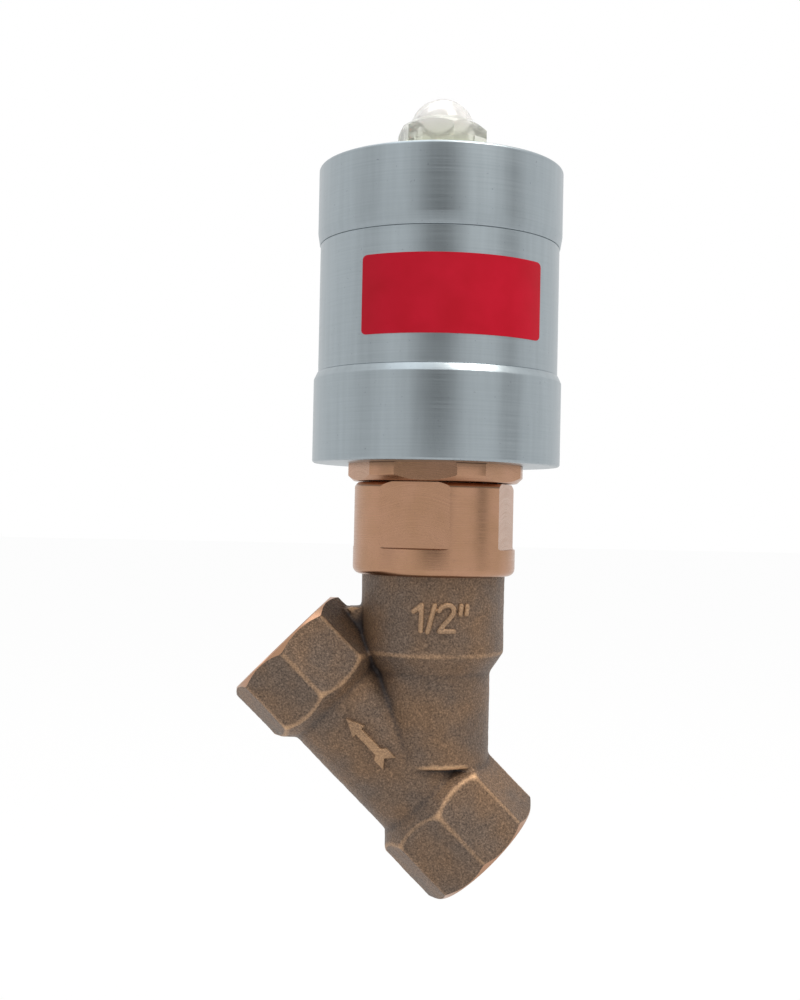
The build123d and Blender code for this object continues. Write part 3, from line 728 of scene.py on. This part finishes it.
def rod(name, out, low, high, axle=RUN):
    """A plain cylinder."""
    outline = [(0, low), (out, low), (out, high), (0, high)]
    return turned_rod(name, outline, axle=axle, steps=CAST_STEPS)


pipe = rod("pipe", PIPE_R, PIPE_START, PIPE_END)
inlet_end = octagon_end("inlet_end", inlet_reach, -1, INLET_CORNERS)
outlet_end = octagon_end("outlet_end", outlet_reach, 1, OUTLET_CORNERS)
neck = turned_rod(
    "neck",
    [
        (0, NECK_LOW),
        (NECK_LOWER_R, NECK_LOW),
        (NECK_LOWER_R, TAPER_LOW),
        (NECK_UPPER_R, TAPER_HIGH),
        (NECK_UPPER_R, neck_top + SPARE),
        (0, neck_top + SPARE),
    ],
    steps=CAST_STEPS,
)

# %% [markdown]
# In the crotch between the outlet and the neck the mould leaves a web with a hollow front.
# A wedge is enough here, because the remesh and the smoothing round it off.

# %% Crotch web
WEB_TOP = 38.3
WEB_HALF = 3.0
WEB_BACK = -10.0
WEB_LOW = 27.0
crotch_x = END_CORNER_R / RUN[2].x
bm = bmesh.new()
web_corners = [(WEB_BACK, WEB_LOW), (WEB_BACK, WEB_TOP), (crotch_x - WEB_TOP, WEB_TOP)]
web_ring = [bm.verts.new(spot(STEM, x, z) - BACK * WEB_HALF * mm) for x, z in web_corners]
pulled(bm, [bm.faces.new(web_ring)], BACK * 2 * WEB_HALF * mm)
web = to_object(bm, "web")
print("web from level", WEB_LOW, "to", WEB_TOP)

# %% [markdown]
# Now the shapes are joined. A voxel remesh wants one closed skin, and smoothing it a few times
# gives the soft fillets.


# %% Melt the shapes together
def melted(made, voxel_mm, rounds):
    """Melts an object's shapes into one skin of voxel size and smooths it."""
    melt = made.modifiers.new("melt", "REMESH")
    melt.mode = "VOXEL"
    melt.voxel_size = voxel_mm * mm
    melt.use_smooth_shade = True
    soften = made.modifiers.new("soften", "SMOOTH")
    soften.factor = 0.5
    soften.iterations = rounds
    return baked(made)


CAST_VOXEL = 0.42
CAST_ROUNDS = 5
casting = pipe
casting.name = "valve_casting"
for other in (inlet_end, outlet_end, neck, web):
    carve(casting, other, "UNION")
melted(casting, CAST_VOXEL, CAST_ROUNDS)
print("casting skin", len(casting.data.vertices), "vertices")

# %% [markdown]
# Sand grains leave a skin that is uneven by a twentieth of a millimetre. Each vertex is moved
# along its normal by that much, with smooth noise, so the roughness is in the mesh itself.
# Before that, some rounds of smoothing show where the edges are: a vertex on an edge sinks in,
# and how far it sinks is kept as the wear of that vertex. More rounds fill the creases, and how
# far a vertex rises there is kept as hollow. Then every vertex goes back to its place.

# %% Sand skin
GRAIN_MM = 0.05
GRAIN_SIZE = 0.9
WAVE_MM = 0.10
WAVE_SIZE = 7.0
# attribute, rounds of smoothing, and how far in mm a vertex has sunk where it is 1
SIGNS = [("wear", 14, 0.20), ("hollow", 30, -0.5)]
bm = bmesh.new()
bm.from_mesh(casting.data)
before = [(vertex.co.copy(), vertex.normal.copy()) for vertex in bm.verts]
every_way = {"use_axis_x": True, "use_axis_y": True, "use_axis_z": True}
for name, rounds, full_mm in SIGNS:
    layer = bm.verts.layers.float.new(name)
    for _ in range(rounds):
        bmesh.ops.smooth_vert(bm, verts=bm.verts, factor=0.5, **every_way)
    for vertex, (was, normal) in zip(bm.verts, before):
        lost = (was - vertex.co).dot(normal) / mm
        vertex[layer] = min(1.0, max(0.0, lost / full_mm))
for vertex, (was, _) in zip(bm.verts, before):
    vertex.co = was
bm.normal_update()
for vertex in bm.verts:
    point = vertex.co / mm
    height = GRAIN_MM * noise.noise(point / GRAIN_SIZE) + WAVE_MM * noise.noise(point / WAVE_SIZE)
    vertex.co += vertex.normal * height * mm
bm.to_mesh(casting.data)
bm.free()
print("attributes", [name for name, _, _ in SIGNS])

# %% [markdown]
# Now the machining. Boolean cuts take away the spare ends and bevel the two faces, bore the
# threads and the passages, and open the chamber with its seat. The order follows the real
# part: the outlet passage stops at a drum of metal that carries the seat.

# %% Bores and faces
THREAD_R = inlet["dims"]["r_mm"]
THREAD_LENGTH = inlet["dims"]["length_mm"]
PASSAGE_R = 7.0
SEAT_R = 6.5
SEAT_LIP_R = 7.4
SEAT_LEVEL = 5.0
CHAMBER_R = 9.0
CHAMBER_TOP = 26.0
NECK_BORE_R = 11.0
MOUTH = 0.9
BEYOND = 4.0
ELBOW_STEPS = 12
TRIM_R = 16.2
CLEAR_R = 24

carve(casting, rod("outlet_passage", PASSAGE_R, outlet_reach - BEYOND, 0))
carve(casting, rod("seat_drum", CHAMBER_R, -PASSAGE_R * RUN[2].x, SEAT_LEVEL, axle=STEM), "UNION")
elbow_angles = [pi * i / ELBOW_STEPS for i in range(ELBOW_STEPS + 1)]
elbow = [(PASSAGE_R * sin(angle), -PASSAGE_R * cos(angle)) for angle in elbow_angles]
carve(casting, turned_rod("elbow", elbow, axle=RUN, steps=CAST_STEPS))
carve(casting, rod("inlet_passage", PASSAGE_R, 0, inlet_reach + BEYOND))
for face, inward in ((inlet_reach, -1), (outlet_reach, 1)):
    trim = [
        (0, face - inward * BEYOND),
        (TRIM_R, face - inward * BEYOND),
        (TRIM_R, face + inward * (TRIM_R - END_FACE_R)),
        (END_FACE_R, face),
        (THREAD_R + MOUTH, face),
        (THREAD_R, face + inward * MOUTH),
        (THREAD_R, face + inward * THREAD_LENGTH),
        (0, face + inward * THREAD_LENGTH),
    ]
    carve(casting, turned_rod("trim", trim, axle=RUN))
chamber = [
    (0, 0),
    (SEAT_R, 0),
    (SEAT_R, SEAT_LEVEL),
    (SEAT_LIP_R, SEAT_LEVEL),
    (SEAT_LIP_R, SEAT_LEVEL - 1),
    (CHAMBER_R, SEAT_LEVEL - 1),
    (CHAMBER_R, CHAMBER_TOP),
    (NECK_BORE_R, CHAMBER_TOP),
    (NECK_BORE_R, neck_top),
    (CLEAR_R, neck_top),
    (CLEAR_R, neck_top + BEYOND),
    (0, neck_top + BEYOND),
]
carve(casting, turned_rod("chamber", chamber))
print("bores cut,", len(casting.data.polygons), "faces")

# %% [markdown]
# The cut faces are bright and the rest keeps its skin. Which is which follows from where a
# face lies: a machined face is on an end plane, on its bevel, or on a bored wall.

# %% Machined faces
paint(casting, CAST, BRONZE)
NEAR = 0.03
CAST_ANGLE = radians(35)
SEAT_DEPTH = 1.5
machined = 0
for face in casting.data.polygons:
    from_crossing = (face.center - crossing) / mm
    along = from_crossing.dot(RUN[1])
    off_run = (from_crossing - RUN[1] * along).length
    up = from_crossing.z
    off_stem = Vector((from_crossing.x, from_crossing.y)).length
    end_gap = min(inlet_reach - along, along - outlet_reach)
    on_bevel = off_run < TRIM_R and abs(end_gap - (off_run - END_FACE_R)) < NEAR
    on_end = end_gap < NEAR or on_bevel
    on_thread = end_gap < THREAD_LENGTH + NEAR and off_run < THREAD_R + MOUTH
    bore_r = CHAMBER_R if up < CHAMBER_TOP - NEAR else NECK_BORE_R
    on_chamber = off_stem < bore_r + NEAR and up > SEAT_LEVEL - SEAT_DEPTH
    if on_end or on_thread or on_chamber or up > neck_top - NEAR:
        face.material_index = 1
        machined += 1
casting.data.set_sharp_from_angle(angle=CAST_ANGLE)
piece(casting, "valve_base", "cast_bronze", "valve_body")
print("machined faces", machined, "of", len(casting.data.polygons))

# %% [markdown]
# ## Threads in the ports
# A pipe thread is a ridge that climbs the bore. Spin does that too: with a dvec it moves
# along the axle a little at every step, so one small section becomes the whole ridge. The
# ridge has closed ends, and its foot sits in the wall of the bore.


# %% Thread ridges
RIDGE_FOOT = 0.46
RIDGE_CREST = 0.12
RIDGE_ROOT = 0.1


def thread_ridge(name, axle, bore_r, pitch, depth, start, length, material=BRONZE, steps=60):
    """A ridge round the inside of a bore. Start and length are along the axle, in mm."""
    turns = abs(length) / pitch
    direction = 1 if length > 0 else -1
    foot = pitch * RIDGE_FOOT
    crest = foot * RIDGE_CREST
    outline = [
        (bore_r + RIDGE_ROOT, -foot),
        (bore_r - depth, -crest),
        (bore_r - depth, crest),
        (bore_r + RIDGE_ROOT, foot),
    ]
    bm = bmesh.new()
    ring = [bm.verts.new(spot(axle, out, start + along)) for out, along in outline]
    profile = bm.faces.new(ring)
    count = round(turns * steps)
    bmesh.ops.spin(
        bm,
        geom=[profile],
        cent=axle[0],
        axis=axle[1],
        dvec=axle[1] * (length * mm / count),
        angle=tau * turns * direction,
        steps=count,
        use_merge=False,
    )
    return to_object(bm, name, material)


PIPE_PITCH = 1.814
PIPE_THREAD_DEPTH = 1.1
THREAD_START = 1.9
THREAD_RUN_OUT = 3.0
for name, face, inward in (("inlet_thread", inlet_reach, -1), ("outlet_thread", outlet_reach, 1)):
    start = face + inward * THREAD_START
    length = inward * (THREAD_LENGTH - THREAD_RUN_OUT)
    ridge = thread_ridge(name, RUN, THREAD_R, PIPE_PITCH, PIPE_THREAD_DEPTH, start, length)
    piece(ridge, "valve_base", "machined_bronze")

# %% [markdown]
# ## Marks on the casting
# The flow arrow stands flat and proud of the pipe, with its edges just broken. It is one face
# with a mirrored outline, pulled out and bevelled.

# %% Flow arrow
def rub(made, amount):
    """Gives a whole piece one amount of wear."""
    wear = made.data.attributes.new("wear", "FLOAT", "POINT")
    wear.data.foreach_set("value", [amount] * len(made.data.vertices))


ARROW_TIP = -24.0
ARROW_HALF = [(0, 0), (3.65, 1.65), (3.65, 0.8), (9.05, 0.8), (9.8, 1.7), (12.4, 1.7), (10.9, 0)]
ARROW_FRONT = 12.65
ARROW_ROOT = 10.9
ARROW_EDGE = 0.22
ARROW_WEAR = 0.6
arrow_outline = ARROW_HALF + [(x, -y) for x, y in reversed(ARROW_HALF[1:-1])]
bm = bmesh.new()
root = -BACK * ARROW_ROOT * mm
ring = [bm.verts.new(spot(RUN, y, ARROW_TIP + x) + root) for x, y in arrow_outline]
front = pulled(bm, [bm.faces.new(ring)], -BACK * (ARROW_FRONT - ARROW_ROOT) * mm)
rim = [e for e in bm.edges if all(v in front for v in e.verts)]
bevelled(bm, rim, ARROW_EDGE, 3)
arrow = to_object(bm, "flow_arrow", CAST)
rub(arrow, ARROW_WEAR)
piece(arrow, "valve_base", "cast_bronze")

# %% [markdown]
# The size mark was cut into the mould with a round tool, so it stands as soft ridges. Each
# stroke is a chain of short rods and balls laid on the neck, and a fine voxel remesh makes
# one soft bead of them.

# %% Size mark
MARK_LEVEL = 37.2
MARK_SHIFT = 1.3
STROKE_R = 0.52
STROKE_RISE = 0.12
MARK_VOXEL = 0.12
MARK_ROUNDS = 3
MARK_WEAR = 0.75
ONE = [(-5.4, 1.3), (-4.5, 2.0), (-3.8, 2.6), (-3.95, -2.5)]
SLASH = [(-1.3, 2.55), (-2.6, -2.65)]
TWO_BOW = [(-0.4, 1.5), (0.1, 2.3), (1.0, 2.65), (1.9, 2.55), (2.5, 1.9), (2.4, 1.0)]
TWO_FOOT = [(1.5, -0.2), (0.3, -1.5), (-0.35, -2.5), (2.6, -2.5)]
INCHES = [[(4.0, 2.5), (3.8, 0.9)], [(5.3, 2.5), (5.1, 0.9)]]
STROKES = [ONE, SLASH, TWO_BOW + TWO_FOOT, *INCHES]


def on_neck(across, up):
    """A point of the mark, laid round the neck."""
    angle = (across + MARK_SHIFT) / NECK_UPPER_R
    out = NECK_UPPER_R + STROKE_RISE
    return crossing + Vector((sin(angle) * out, -cos(angle) * out, MARK_LEVEL + up)) * mm


bm = bmesh.new()
for stroke in STROKES:
    points = [on_neck(across, up) for across, up in stroke]
    for point in points:
        there = Matrix.Translation(point)
        bmesh.ops.create_icosphere(bm, subdivisions=2, radius=STROKE_R * mm, matrix=there)
    for a, b in zip(points, points[1:]):
        turn_to = (b - a).to_track_quat("Z", "Y").to_matrix().to_4x4()
        bmesh.ops.create_cone(
            bm,
            cap_ends=True,
            segments=16,
            radius1=STROKE_R * mm,
            radius2=STROKE_R * mm,
            depth=(b - a).length,
            matrix=Matrix.Translation((a + b) / 2) @ turn_to,
        )
mark = melted(to_object(bm, "size_mark", CAST), MARK_VOXEL, MARK_ROUNDS)
rub(mark, MARK_WEAR)
piece(mark, "valve_base", "cast_bronze")

# %% [markdown]
# ## Bonnet and lock nut
# The bonnet is turned, with a spigot that fits the neck's bore and a room for the packing.
# Then four flats are milled for a spanner. The cone at its upper edge gives the flats their
# rounded top corners, and a small round is left where the cutter stops.

# %% Bonnet
NUT_GAP = 0.2
collar_r = radius("bonnet")
collar_top = level("lock_nut", 0) - NUT_GAP
bonnet_low, bonnet_high = level("bonnet", 0), level("bonnet", 1)
FLAT_DISTANCE = 15.1
FLAT_TURN = -16.4
FLAT_HEIGHT = 13.3
FLAT_ROUND = 0.5
CUTTER_SIZE = (6, 40, 20)
INSIDE = 1
SPIGOT_R = NECK_BORE_R - 0.05
TOP_RING_R = 9.95
FOOT_HOLE_R = 6.0
PACKING_ROOM_R = 6.5
STEM_HOLE_R = 4.05
BONNET_STEPS = 240
bonnet = turned(
    "bonnet_turned",
    [
        (FOOT_HOLE_R, bonnet_low),
        (SPIGOT_R, bonnet_low, 0.3),
        (SPIGOT_R, neck_top),
        (collar_r, neck_top, 1.5),
        (collar_r, collar_top - 0.8, 0.4),
        (collar_r - 0.85, collar_top, 0.1),
        (TOP_RING_R, collar_top),
        (TOP_RING_R, bonnet_high, 0.4),
        (PACKING_ROOM_R, bonnet_high),
        (PACKING_ROOM_R, level("packing_washers", 0)),
        (STEM_HOLE_R, level("packing_washers", 0)),
        (STEM_HOLE_R, level("stem_wiper", 1)),
        (FOOT_HOLE_R, level("stem_wiper", 1)),
    ],
    steps=BONNET_STEPS,
)
foot_level = collar_top - FLAT_HEIGHT
for side in range(4):
    angle = radians(FLAT_TURN + 90 * side)
    outward = Vector((cos(angle), sin(angle), 0))
    across = UP.cross(outward)
    bm = bmesh.new()
    bmesh.ops.create_cube(bm, size=1)
    sides = [way * size * mm for way, size in zip((outward, across, UP), CUTTER_SIZE)]
    place = Matrix(sides).transposed().to_4x4()
    middle = spot(STEM, 0, foot_level + CUTTER_SIZE[2] / 2)
    place.translation = middle + outward * (FLAT_DISTANCE + CUTTER_SIZE[0] / 2) * mm
    bmesh.ops.transform(bm, matrix=place, verts=bm.verts)
    inner_foot = [
        v
        for v in bm.verts
        if (v.co - crossing).dot(outward) < (FLAT_DISTANCE + INSIDE) * mm
        and v.co.z < spot(STEM, 0, foot_level + INSIDE).z
    ]
    low_edge = [e for e in bm.edges if all(v in inner_foot for v in e.verts)]
    bevelled(bm, low_edge, FLAT_ROUND, 3)
    carve(bonnet, to_object(bm, "flat_cutter"))
paint(bonnet, BRONZE)
piece(bonnet, "valve_base", "machined_bronze", "bonnet")

# %% [markdown]
# The lock nut is a thin hexagon whose corners are turned off. Cutting a hexagon bar with a
# turned shape, cone and all, gives the curved lower edge that its flats show.

# %% Lock nut
nut_low, nut_high = level("lock_nut", 0), level("lock_nut", 1)
NUT_FLAT_R = 16.9
NUT_R = 18.0
NUT_FOOT_R = 16.8
NUT_CHAMFER = 1.1
NUT_BORE_R = 9.98
NUT_TURN = -8.2
nut = prism("lock_nut_turned", 6, NUT_FLAT_R, nut_low - 1, nut_high + 1, turn=NUT_TURN)
nut_shape = [
    (NUT_BORE_R, nut_low),
    (NUT_FOOT_R, nut_low, 0.15),
    (NUT_R, nut_low + NUT_CHAMFER, 0.1),
    (NUT_R, nut_high, 0.2),
    (NUT_BORE_R, nut_high),
]
carve(nut, turned("nut_shape", nut_shape, steps=BONNET_STEPS), "INTERSECT")
paint(nut, BRONZE)
piece(nut, "valve_base", "machined_bronze", "lock_nut")

# %% [markdown]
# ## The actuator
# Two caps and a barrel, all turned from bar. The caps are a little wider than the barrel, and
# their chamfers draw the two lines where the barrel begins. Inside, each cap has a lip that
# fits the barrel's bore.

# %% Caps and barrel
cap_r = radius("bottom_cap")
cap_low, cap_high = level("bottom_cap", 0), level("bottom_cap", 1)
top_r = radius("top_cap")
top_start, roof = level("top_cap", 0), level("top_cap", 1)
tube_low, tube_high = level("cylinder_tube", 0), level("cylinder_tube", 1)
barrel_r = radius("cylinder_tube")
RIM_R = 24.8
JOINT_R = 22.0
BORE_R = 20.0
HUB_TOP = 77.2
HUB_R = 10.0
LIP_R = BORE_R - 0.05
RECESS_R = JOINT_R + 0.05
LIP_LENGTH = 2.7
END_PLAY = 0.3
LOWER_CHAMFER = 1.5
UPPER_CHAMFER = 2.4
SPRING_ROOM_R = 17.0
DOME_HOLE_R = 6.05
ACTUATOR_STEPS = 256
ROOF_BOTTOM = level("outer_return_spring", 1)

lower_cap = turned(
    "lower_cap",
    [
        (HUB_R, cap_low, 0.3),
        (cap_r, cap_low, 0.55),
        (cap_r, cap_high - LOWER_CHAMFER, 0.15),
        (RIM_R, cap_high, 0.12),
        (RECESS_R, cap_high),
        (RECESS_R, tube_low - END_PLAY),
        (LIP_R, tube_low - END_PLAY),
        (LIP_R, tube_low + LIP_LENGTH),
        (STEM_HOLE_R, tube_low + LIP_LENGTH),
        (STEM_HOLE_R, HUB_TOP),
        (HUB_R, HUB_TOP),
    ],
    steps=ACTUATOR_STEPS,
)
upper_cap = turned(
    "upper_cap",
    [
        (RECESS_R, top_start),
        (RIM_R, top_start, 0.12),
        (top_r, top_start + UPPER_CHAMFER, 0.15),
        (top_r, roof, 0.6),
        (DOME_HOLE_R, roof, 0.2),
        (DOME_HOLE_R, ROOF_BOTTOM),
        (SPRING_ROOM_R, ROOF_BOTTOM),
        (SPRING_ROOM_R, tube_high - LIP_LENGTH),
        (LIP_R, tube_high - LIP_LENGTH),
        (LIP_R, tube_high + END_PLAY),
        (RECESS_R, tube_high + END_PLAY),
    ],
    steps=ACTUATOR_STEPS,
)
barrel = turned(
    "barrel",
    [
        (BORE_R, tube_low, 0.2),
        (JOINT_R, tube_low, 0.2),
        (JOINT_R, cap_high),
        (barrel_r, cap_high, 0.15),
        (barrel_r, top_start, 0.15),
        (JOINT_R, top_start),
        (JOINT_R, tube_high, 0.2),
        (BORE_R, tube_high, 0.2),
    ],
    material=ALUMINIUM,
    steps=ACTUATOR_STEPS,
)
print("actuator turned from level", cap_low, "to", roof)

# %% [markdown]
# The lower cap has a spot face and a threaded port at the back for the pilot air, and the
# upper cap has a small hole there for the vent filter.

# %% Pilot port and vent hole
pilot_face = pilot["pos_m"][1] / mm
pilot_r = pilot["dims"]["r_mm"]
pilot_length = pilot["dims"]["length_mm"]
pilot_end = pilot_face - pilot_length
SPOT_FACE_R = 6.3
SPOT_DEPTH = 5
PILOT_MOUTH = 0.5
AIRWAY_R = 1.5
AIRWAY_END = 14.5
port_cut = [
    (0, pilot_face + SPOT_DEPTH),
    (SPOT_FACE_R, pilot_face + SPOT_DEPTH),
    (SPOT_FACE_R, pilot_face),
    (pilot_r + PILOT_MOUTH, pilot_face),
    (pilot_r, pilot_face - PILOT_MOUTH),
    (pilot_r, pilot_end),
    (AIRWAY_R, pilot_end),
    (AIRWAY_R, AIRWAY_END),
    (0, AIRWAY_END),
]
carve(lower_cap, turned_rod("port_cut", port_cut, axle=PILOT, steps=CAST_STEPS))
vent_low, vent_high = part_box("vent_filter")
VENT = (Vector((stem_x, 0, (vent_low.z + vent_high.z) / 2)), BACK, RIGHT)
VENT_R = 2.05
VENT_MOUTH_R = 2.5
VENT_START = 16.0
vent_hole = [
    (0, VENT_START),
    (VENT_R, VENT_START),
    (VENT_R, top_r - 0.6),
    (VENT_MOUTH_R, top_r + 0.2),
    (VENT_MOUTH_R, top_r + 2),
    (0, top_r + 2),
]
carve(upper_cap, turned_rod("vent_hole", vent_hole, axle=VENT, steps=64))
for cap, node_name in ((lower_cap, "bottom_cap"), (upper_cap, "top_cap")):
    paint(cap, ALUMINIUM)
    piece(cap, "actuator", "anodised_aluminium", node_name)
piece(barrel, "actuator", "anodised_aluminium", "cylinder_tube")
PILOT_PITCH = 0.907
PILOT_THREAD_DEPTH = 0.55
PILOT_THREAD_START = 1.1
PILOT_RUN_OUT = 2.0
pilot_ridge = thread_ridge(
    "pilot_thread",
    PILOT,
    pilot_r,
    PILOT_PITCH,
    PILOT_THREAD_DEPTH,
    start=pilot_face - PILOT_THREAD_START,
    length=PILOT_RUN_OUT - pilot_length,
    material=ALUMINIUM,
    steps=40,
)
piece(pilot_ridge, "actuator", "anodised_aluminium")

# %% [markdown]
# ## Sight dome
# The dome is one clear moulding: a hexagon to turn it by, with a crown that magnifies the
# indicator. Clear plastic shows both its skins, so the hollow inside is modelled too.

# %% Dome
dome_low, dome_apex = level("sight_dome", 0), level("sight_dome", 1)
DOME_FLAT_R = 8.25
DOME_TURN = -17.4
HEX_HEIGHT = 9.4
HEX_TOP = roof + HEX_HEIGHT
CROWN_R = 6.8
FOOT_RISE = 1.0
CROWN_STEPS = 12
CROWN_WALL = 1.6
DOME_THREAD_R = 6.0
DOME_HOLLOW_R = 4.9
DOME_CORNER_R = 9.7
HEX_CHAMFER = 1.2
DOME_STEPS = 128
DOME_BAR = 12
crown_centre = dome_apex - CROWN_R
foot_angle = acos((HEX_TOP + FOOT_RISE - crown_centre) / CROWN_R)


def crown(out, low_angle):
    """Points on the crown from its edge to its top."""
    for step in range(CROWN_STEPS + 1):
        angle = low_angle * (1 - step / CROWN_STEPS)
        yield out * sin(angle), crown_centre + out * cos(angle)


dome = prism("clear_dome", 6, DOME_FLAT_R, roof, HEX_TOP + DOME_BAR, turn=DOME_TURN)
dome_shape = [
    (0, dome_low),
    (DOME_THREAD_R, dome_low, 0.2),
    (DOME_THREAD_R, roof),
    (DOME_CORNER_R, roof),
    (DOME_CORNER_R, HEX_TOP - HEX_CHAMFER),
    (DOME_FLAT_R - 0.1, HEX_TOP, 0.2),
    *crown(CROWN_R, foot_angle),
]
carve(dome, rod("dome_thread", DOME_THREAD_R, dome_low, roof + 1, axle=STEM), "UNION")
carve(dome, turned_rod("dome_shape", dome_shape, steps=DOME_STEPS), "INTERSECT")
hollow = [
    (0, dome_low - 1),
    (DOME_HOLLOW_R, dome_low - 1),
    (DOME_HOLLOW_R, roof),
    *crown(CROWN_R - CROWN_WALL, pi / 2),
]
carve(dome, turned_rod("hollow", hollow, steps=DOME_STEPS))
paint(dome, CLEAR)
piece(dome, "actuator", "clear_dome", "sight_dome")

# %% [markdown]
# ## Label
# A label is wrapped on the barrel. A thin ring cut with a rounded rectangle gives a plate that
# follows the barrel exactly, with soft corners. Its face is plain red.

# %% Label plate
LABEL_THICKNESS = 0.15
LABEL_CORNER = 0.9
STAMP_START = 30
STAMP_DEPTH = 20
RING_SPARE = 2
label_low, label_high = level("label_plate", 0), level("label_plate", 1)
label_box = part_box("label_plate")
label_ends = [(corner.x - stem_x) / mm for corner in label_box]
ring_low, ring_high = label_low - RING_SPARE, label_high + RING_SPARE
ring_shape = [(barrel_r, ring_low), (barrel_r + LABEL_THICKNESS, ring_low)]
ring_shape += [(out, ring_high) for out, _ in reversed(ring_shape)]
label = turned("label_face", ring_shape, steps=ACTUATOR_STEPS)
bm = bmesh.new()
left, right = label_ends
corners = [(left, label_low), (right, label_low), (right, label_high), (left, label_high)]
ring = [bm.verts.new(spot(STEM, x, z) - BACK * STAMP_START * mm) for x, z in corners]
bm.faces.new(ring)
bevelled(bm, ring, LABEL_CORNER, 5, "VERTICES")
pulled(bm, bm.faces[:], BACK * STAMP_DEPTH * mm)
carve(label, to_object(bm, "stamp"), "INTERSECT")
paint(label, RED)
piece(label, "actuator", "red_label", "label_plate")

# %% [markdown]
# ## Return springs
# The two springs shorten when the piston lifts. Each is spun as a coil from a ring of wire.

# %% Springs
COIL_STEPS = 48


def coil(name, wire_r, turns, node_name):
    """A round wire spring that fills its node's height."""
    low, high = level(node_name, 0), level(node_name, 1)
    mean_r = radius(node_name) - wire_r
    rise = high - low - 2 * wire_r
    steps = round(turns * COIL_STEPS)
    bm = bmesh.new()
    bmesh.ops.create_circle(bm, cap_ends=True, segments=12, radius=wire_r * mm)
    stand = Matrix.Rotation(pi / 2, 4, "X")
    place = Matrix.Translation(spot(STEM, mean_r, low + wire_r))
    bmesh.ops.transform(bm, matrix=place @ stand, verts=bm.verts)
    bmesh.ops.spin(
        bm,
        geom=bm.faces[:],
        cent=crossing,
        axis=UP,
        dvec=UP * (rise * mm / steps),
        angle=tau * turns,
        steps=steps,
        use_merge=False,
    )
    return to_object(bm, name, SPRING)


for name, wire_r, turns, node_name in (
    ("outer_spring", 1.5, 5.5, "outer_return_spring"),
    ("inner_spring", 1.1, 7.5, "inner_return_spring"),
):
    spring = piece(coil(name, wire_r, turns, node_name), "actuator", "spring_steel", node_name)
    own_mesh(spring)

# %% [markdown]
# ## Inner pieces
# The rest is hidden inside the valve. Each piece keeps its mesh from the construction model and
# only takes its finish here.

# %% Inner finishes
INNER = [
    (STEEL, "stem seal_washer disc_nut piston_washer piston_nut packing_washers"),
    (WHITE, "seat_seal piston_guide_ring bonnet_gasket stem_wiper stem_packing_rings"),
    (RUBBER, "piston_seal dome_o_ring bottom_cap_o_ring top_cap_o_ring stem_o_ring"),
    (BRASS, "valve_disc"),
    (PISTON, "piston"),
    (SPRING, "packing_spring"),
    (BRONZE, "gland_nut"),
    (INDICATOR, "position_indicator"),
    (FILTER, "vent_filter"),
]
for material, node_names in INNER:
    for node_name in node_names.split():
        paint(frame["nodes"][node_name], material)
    print(material.name, node_names)
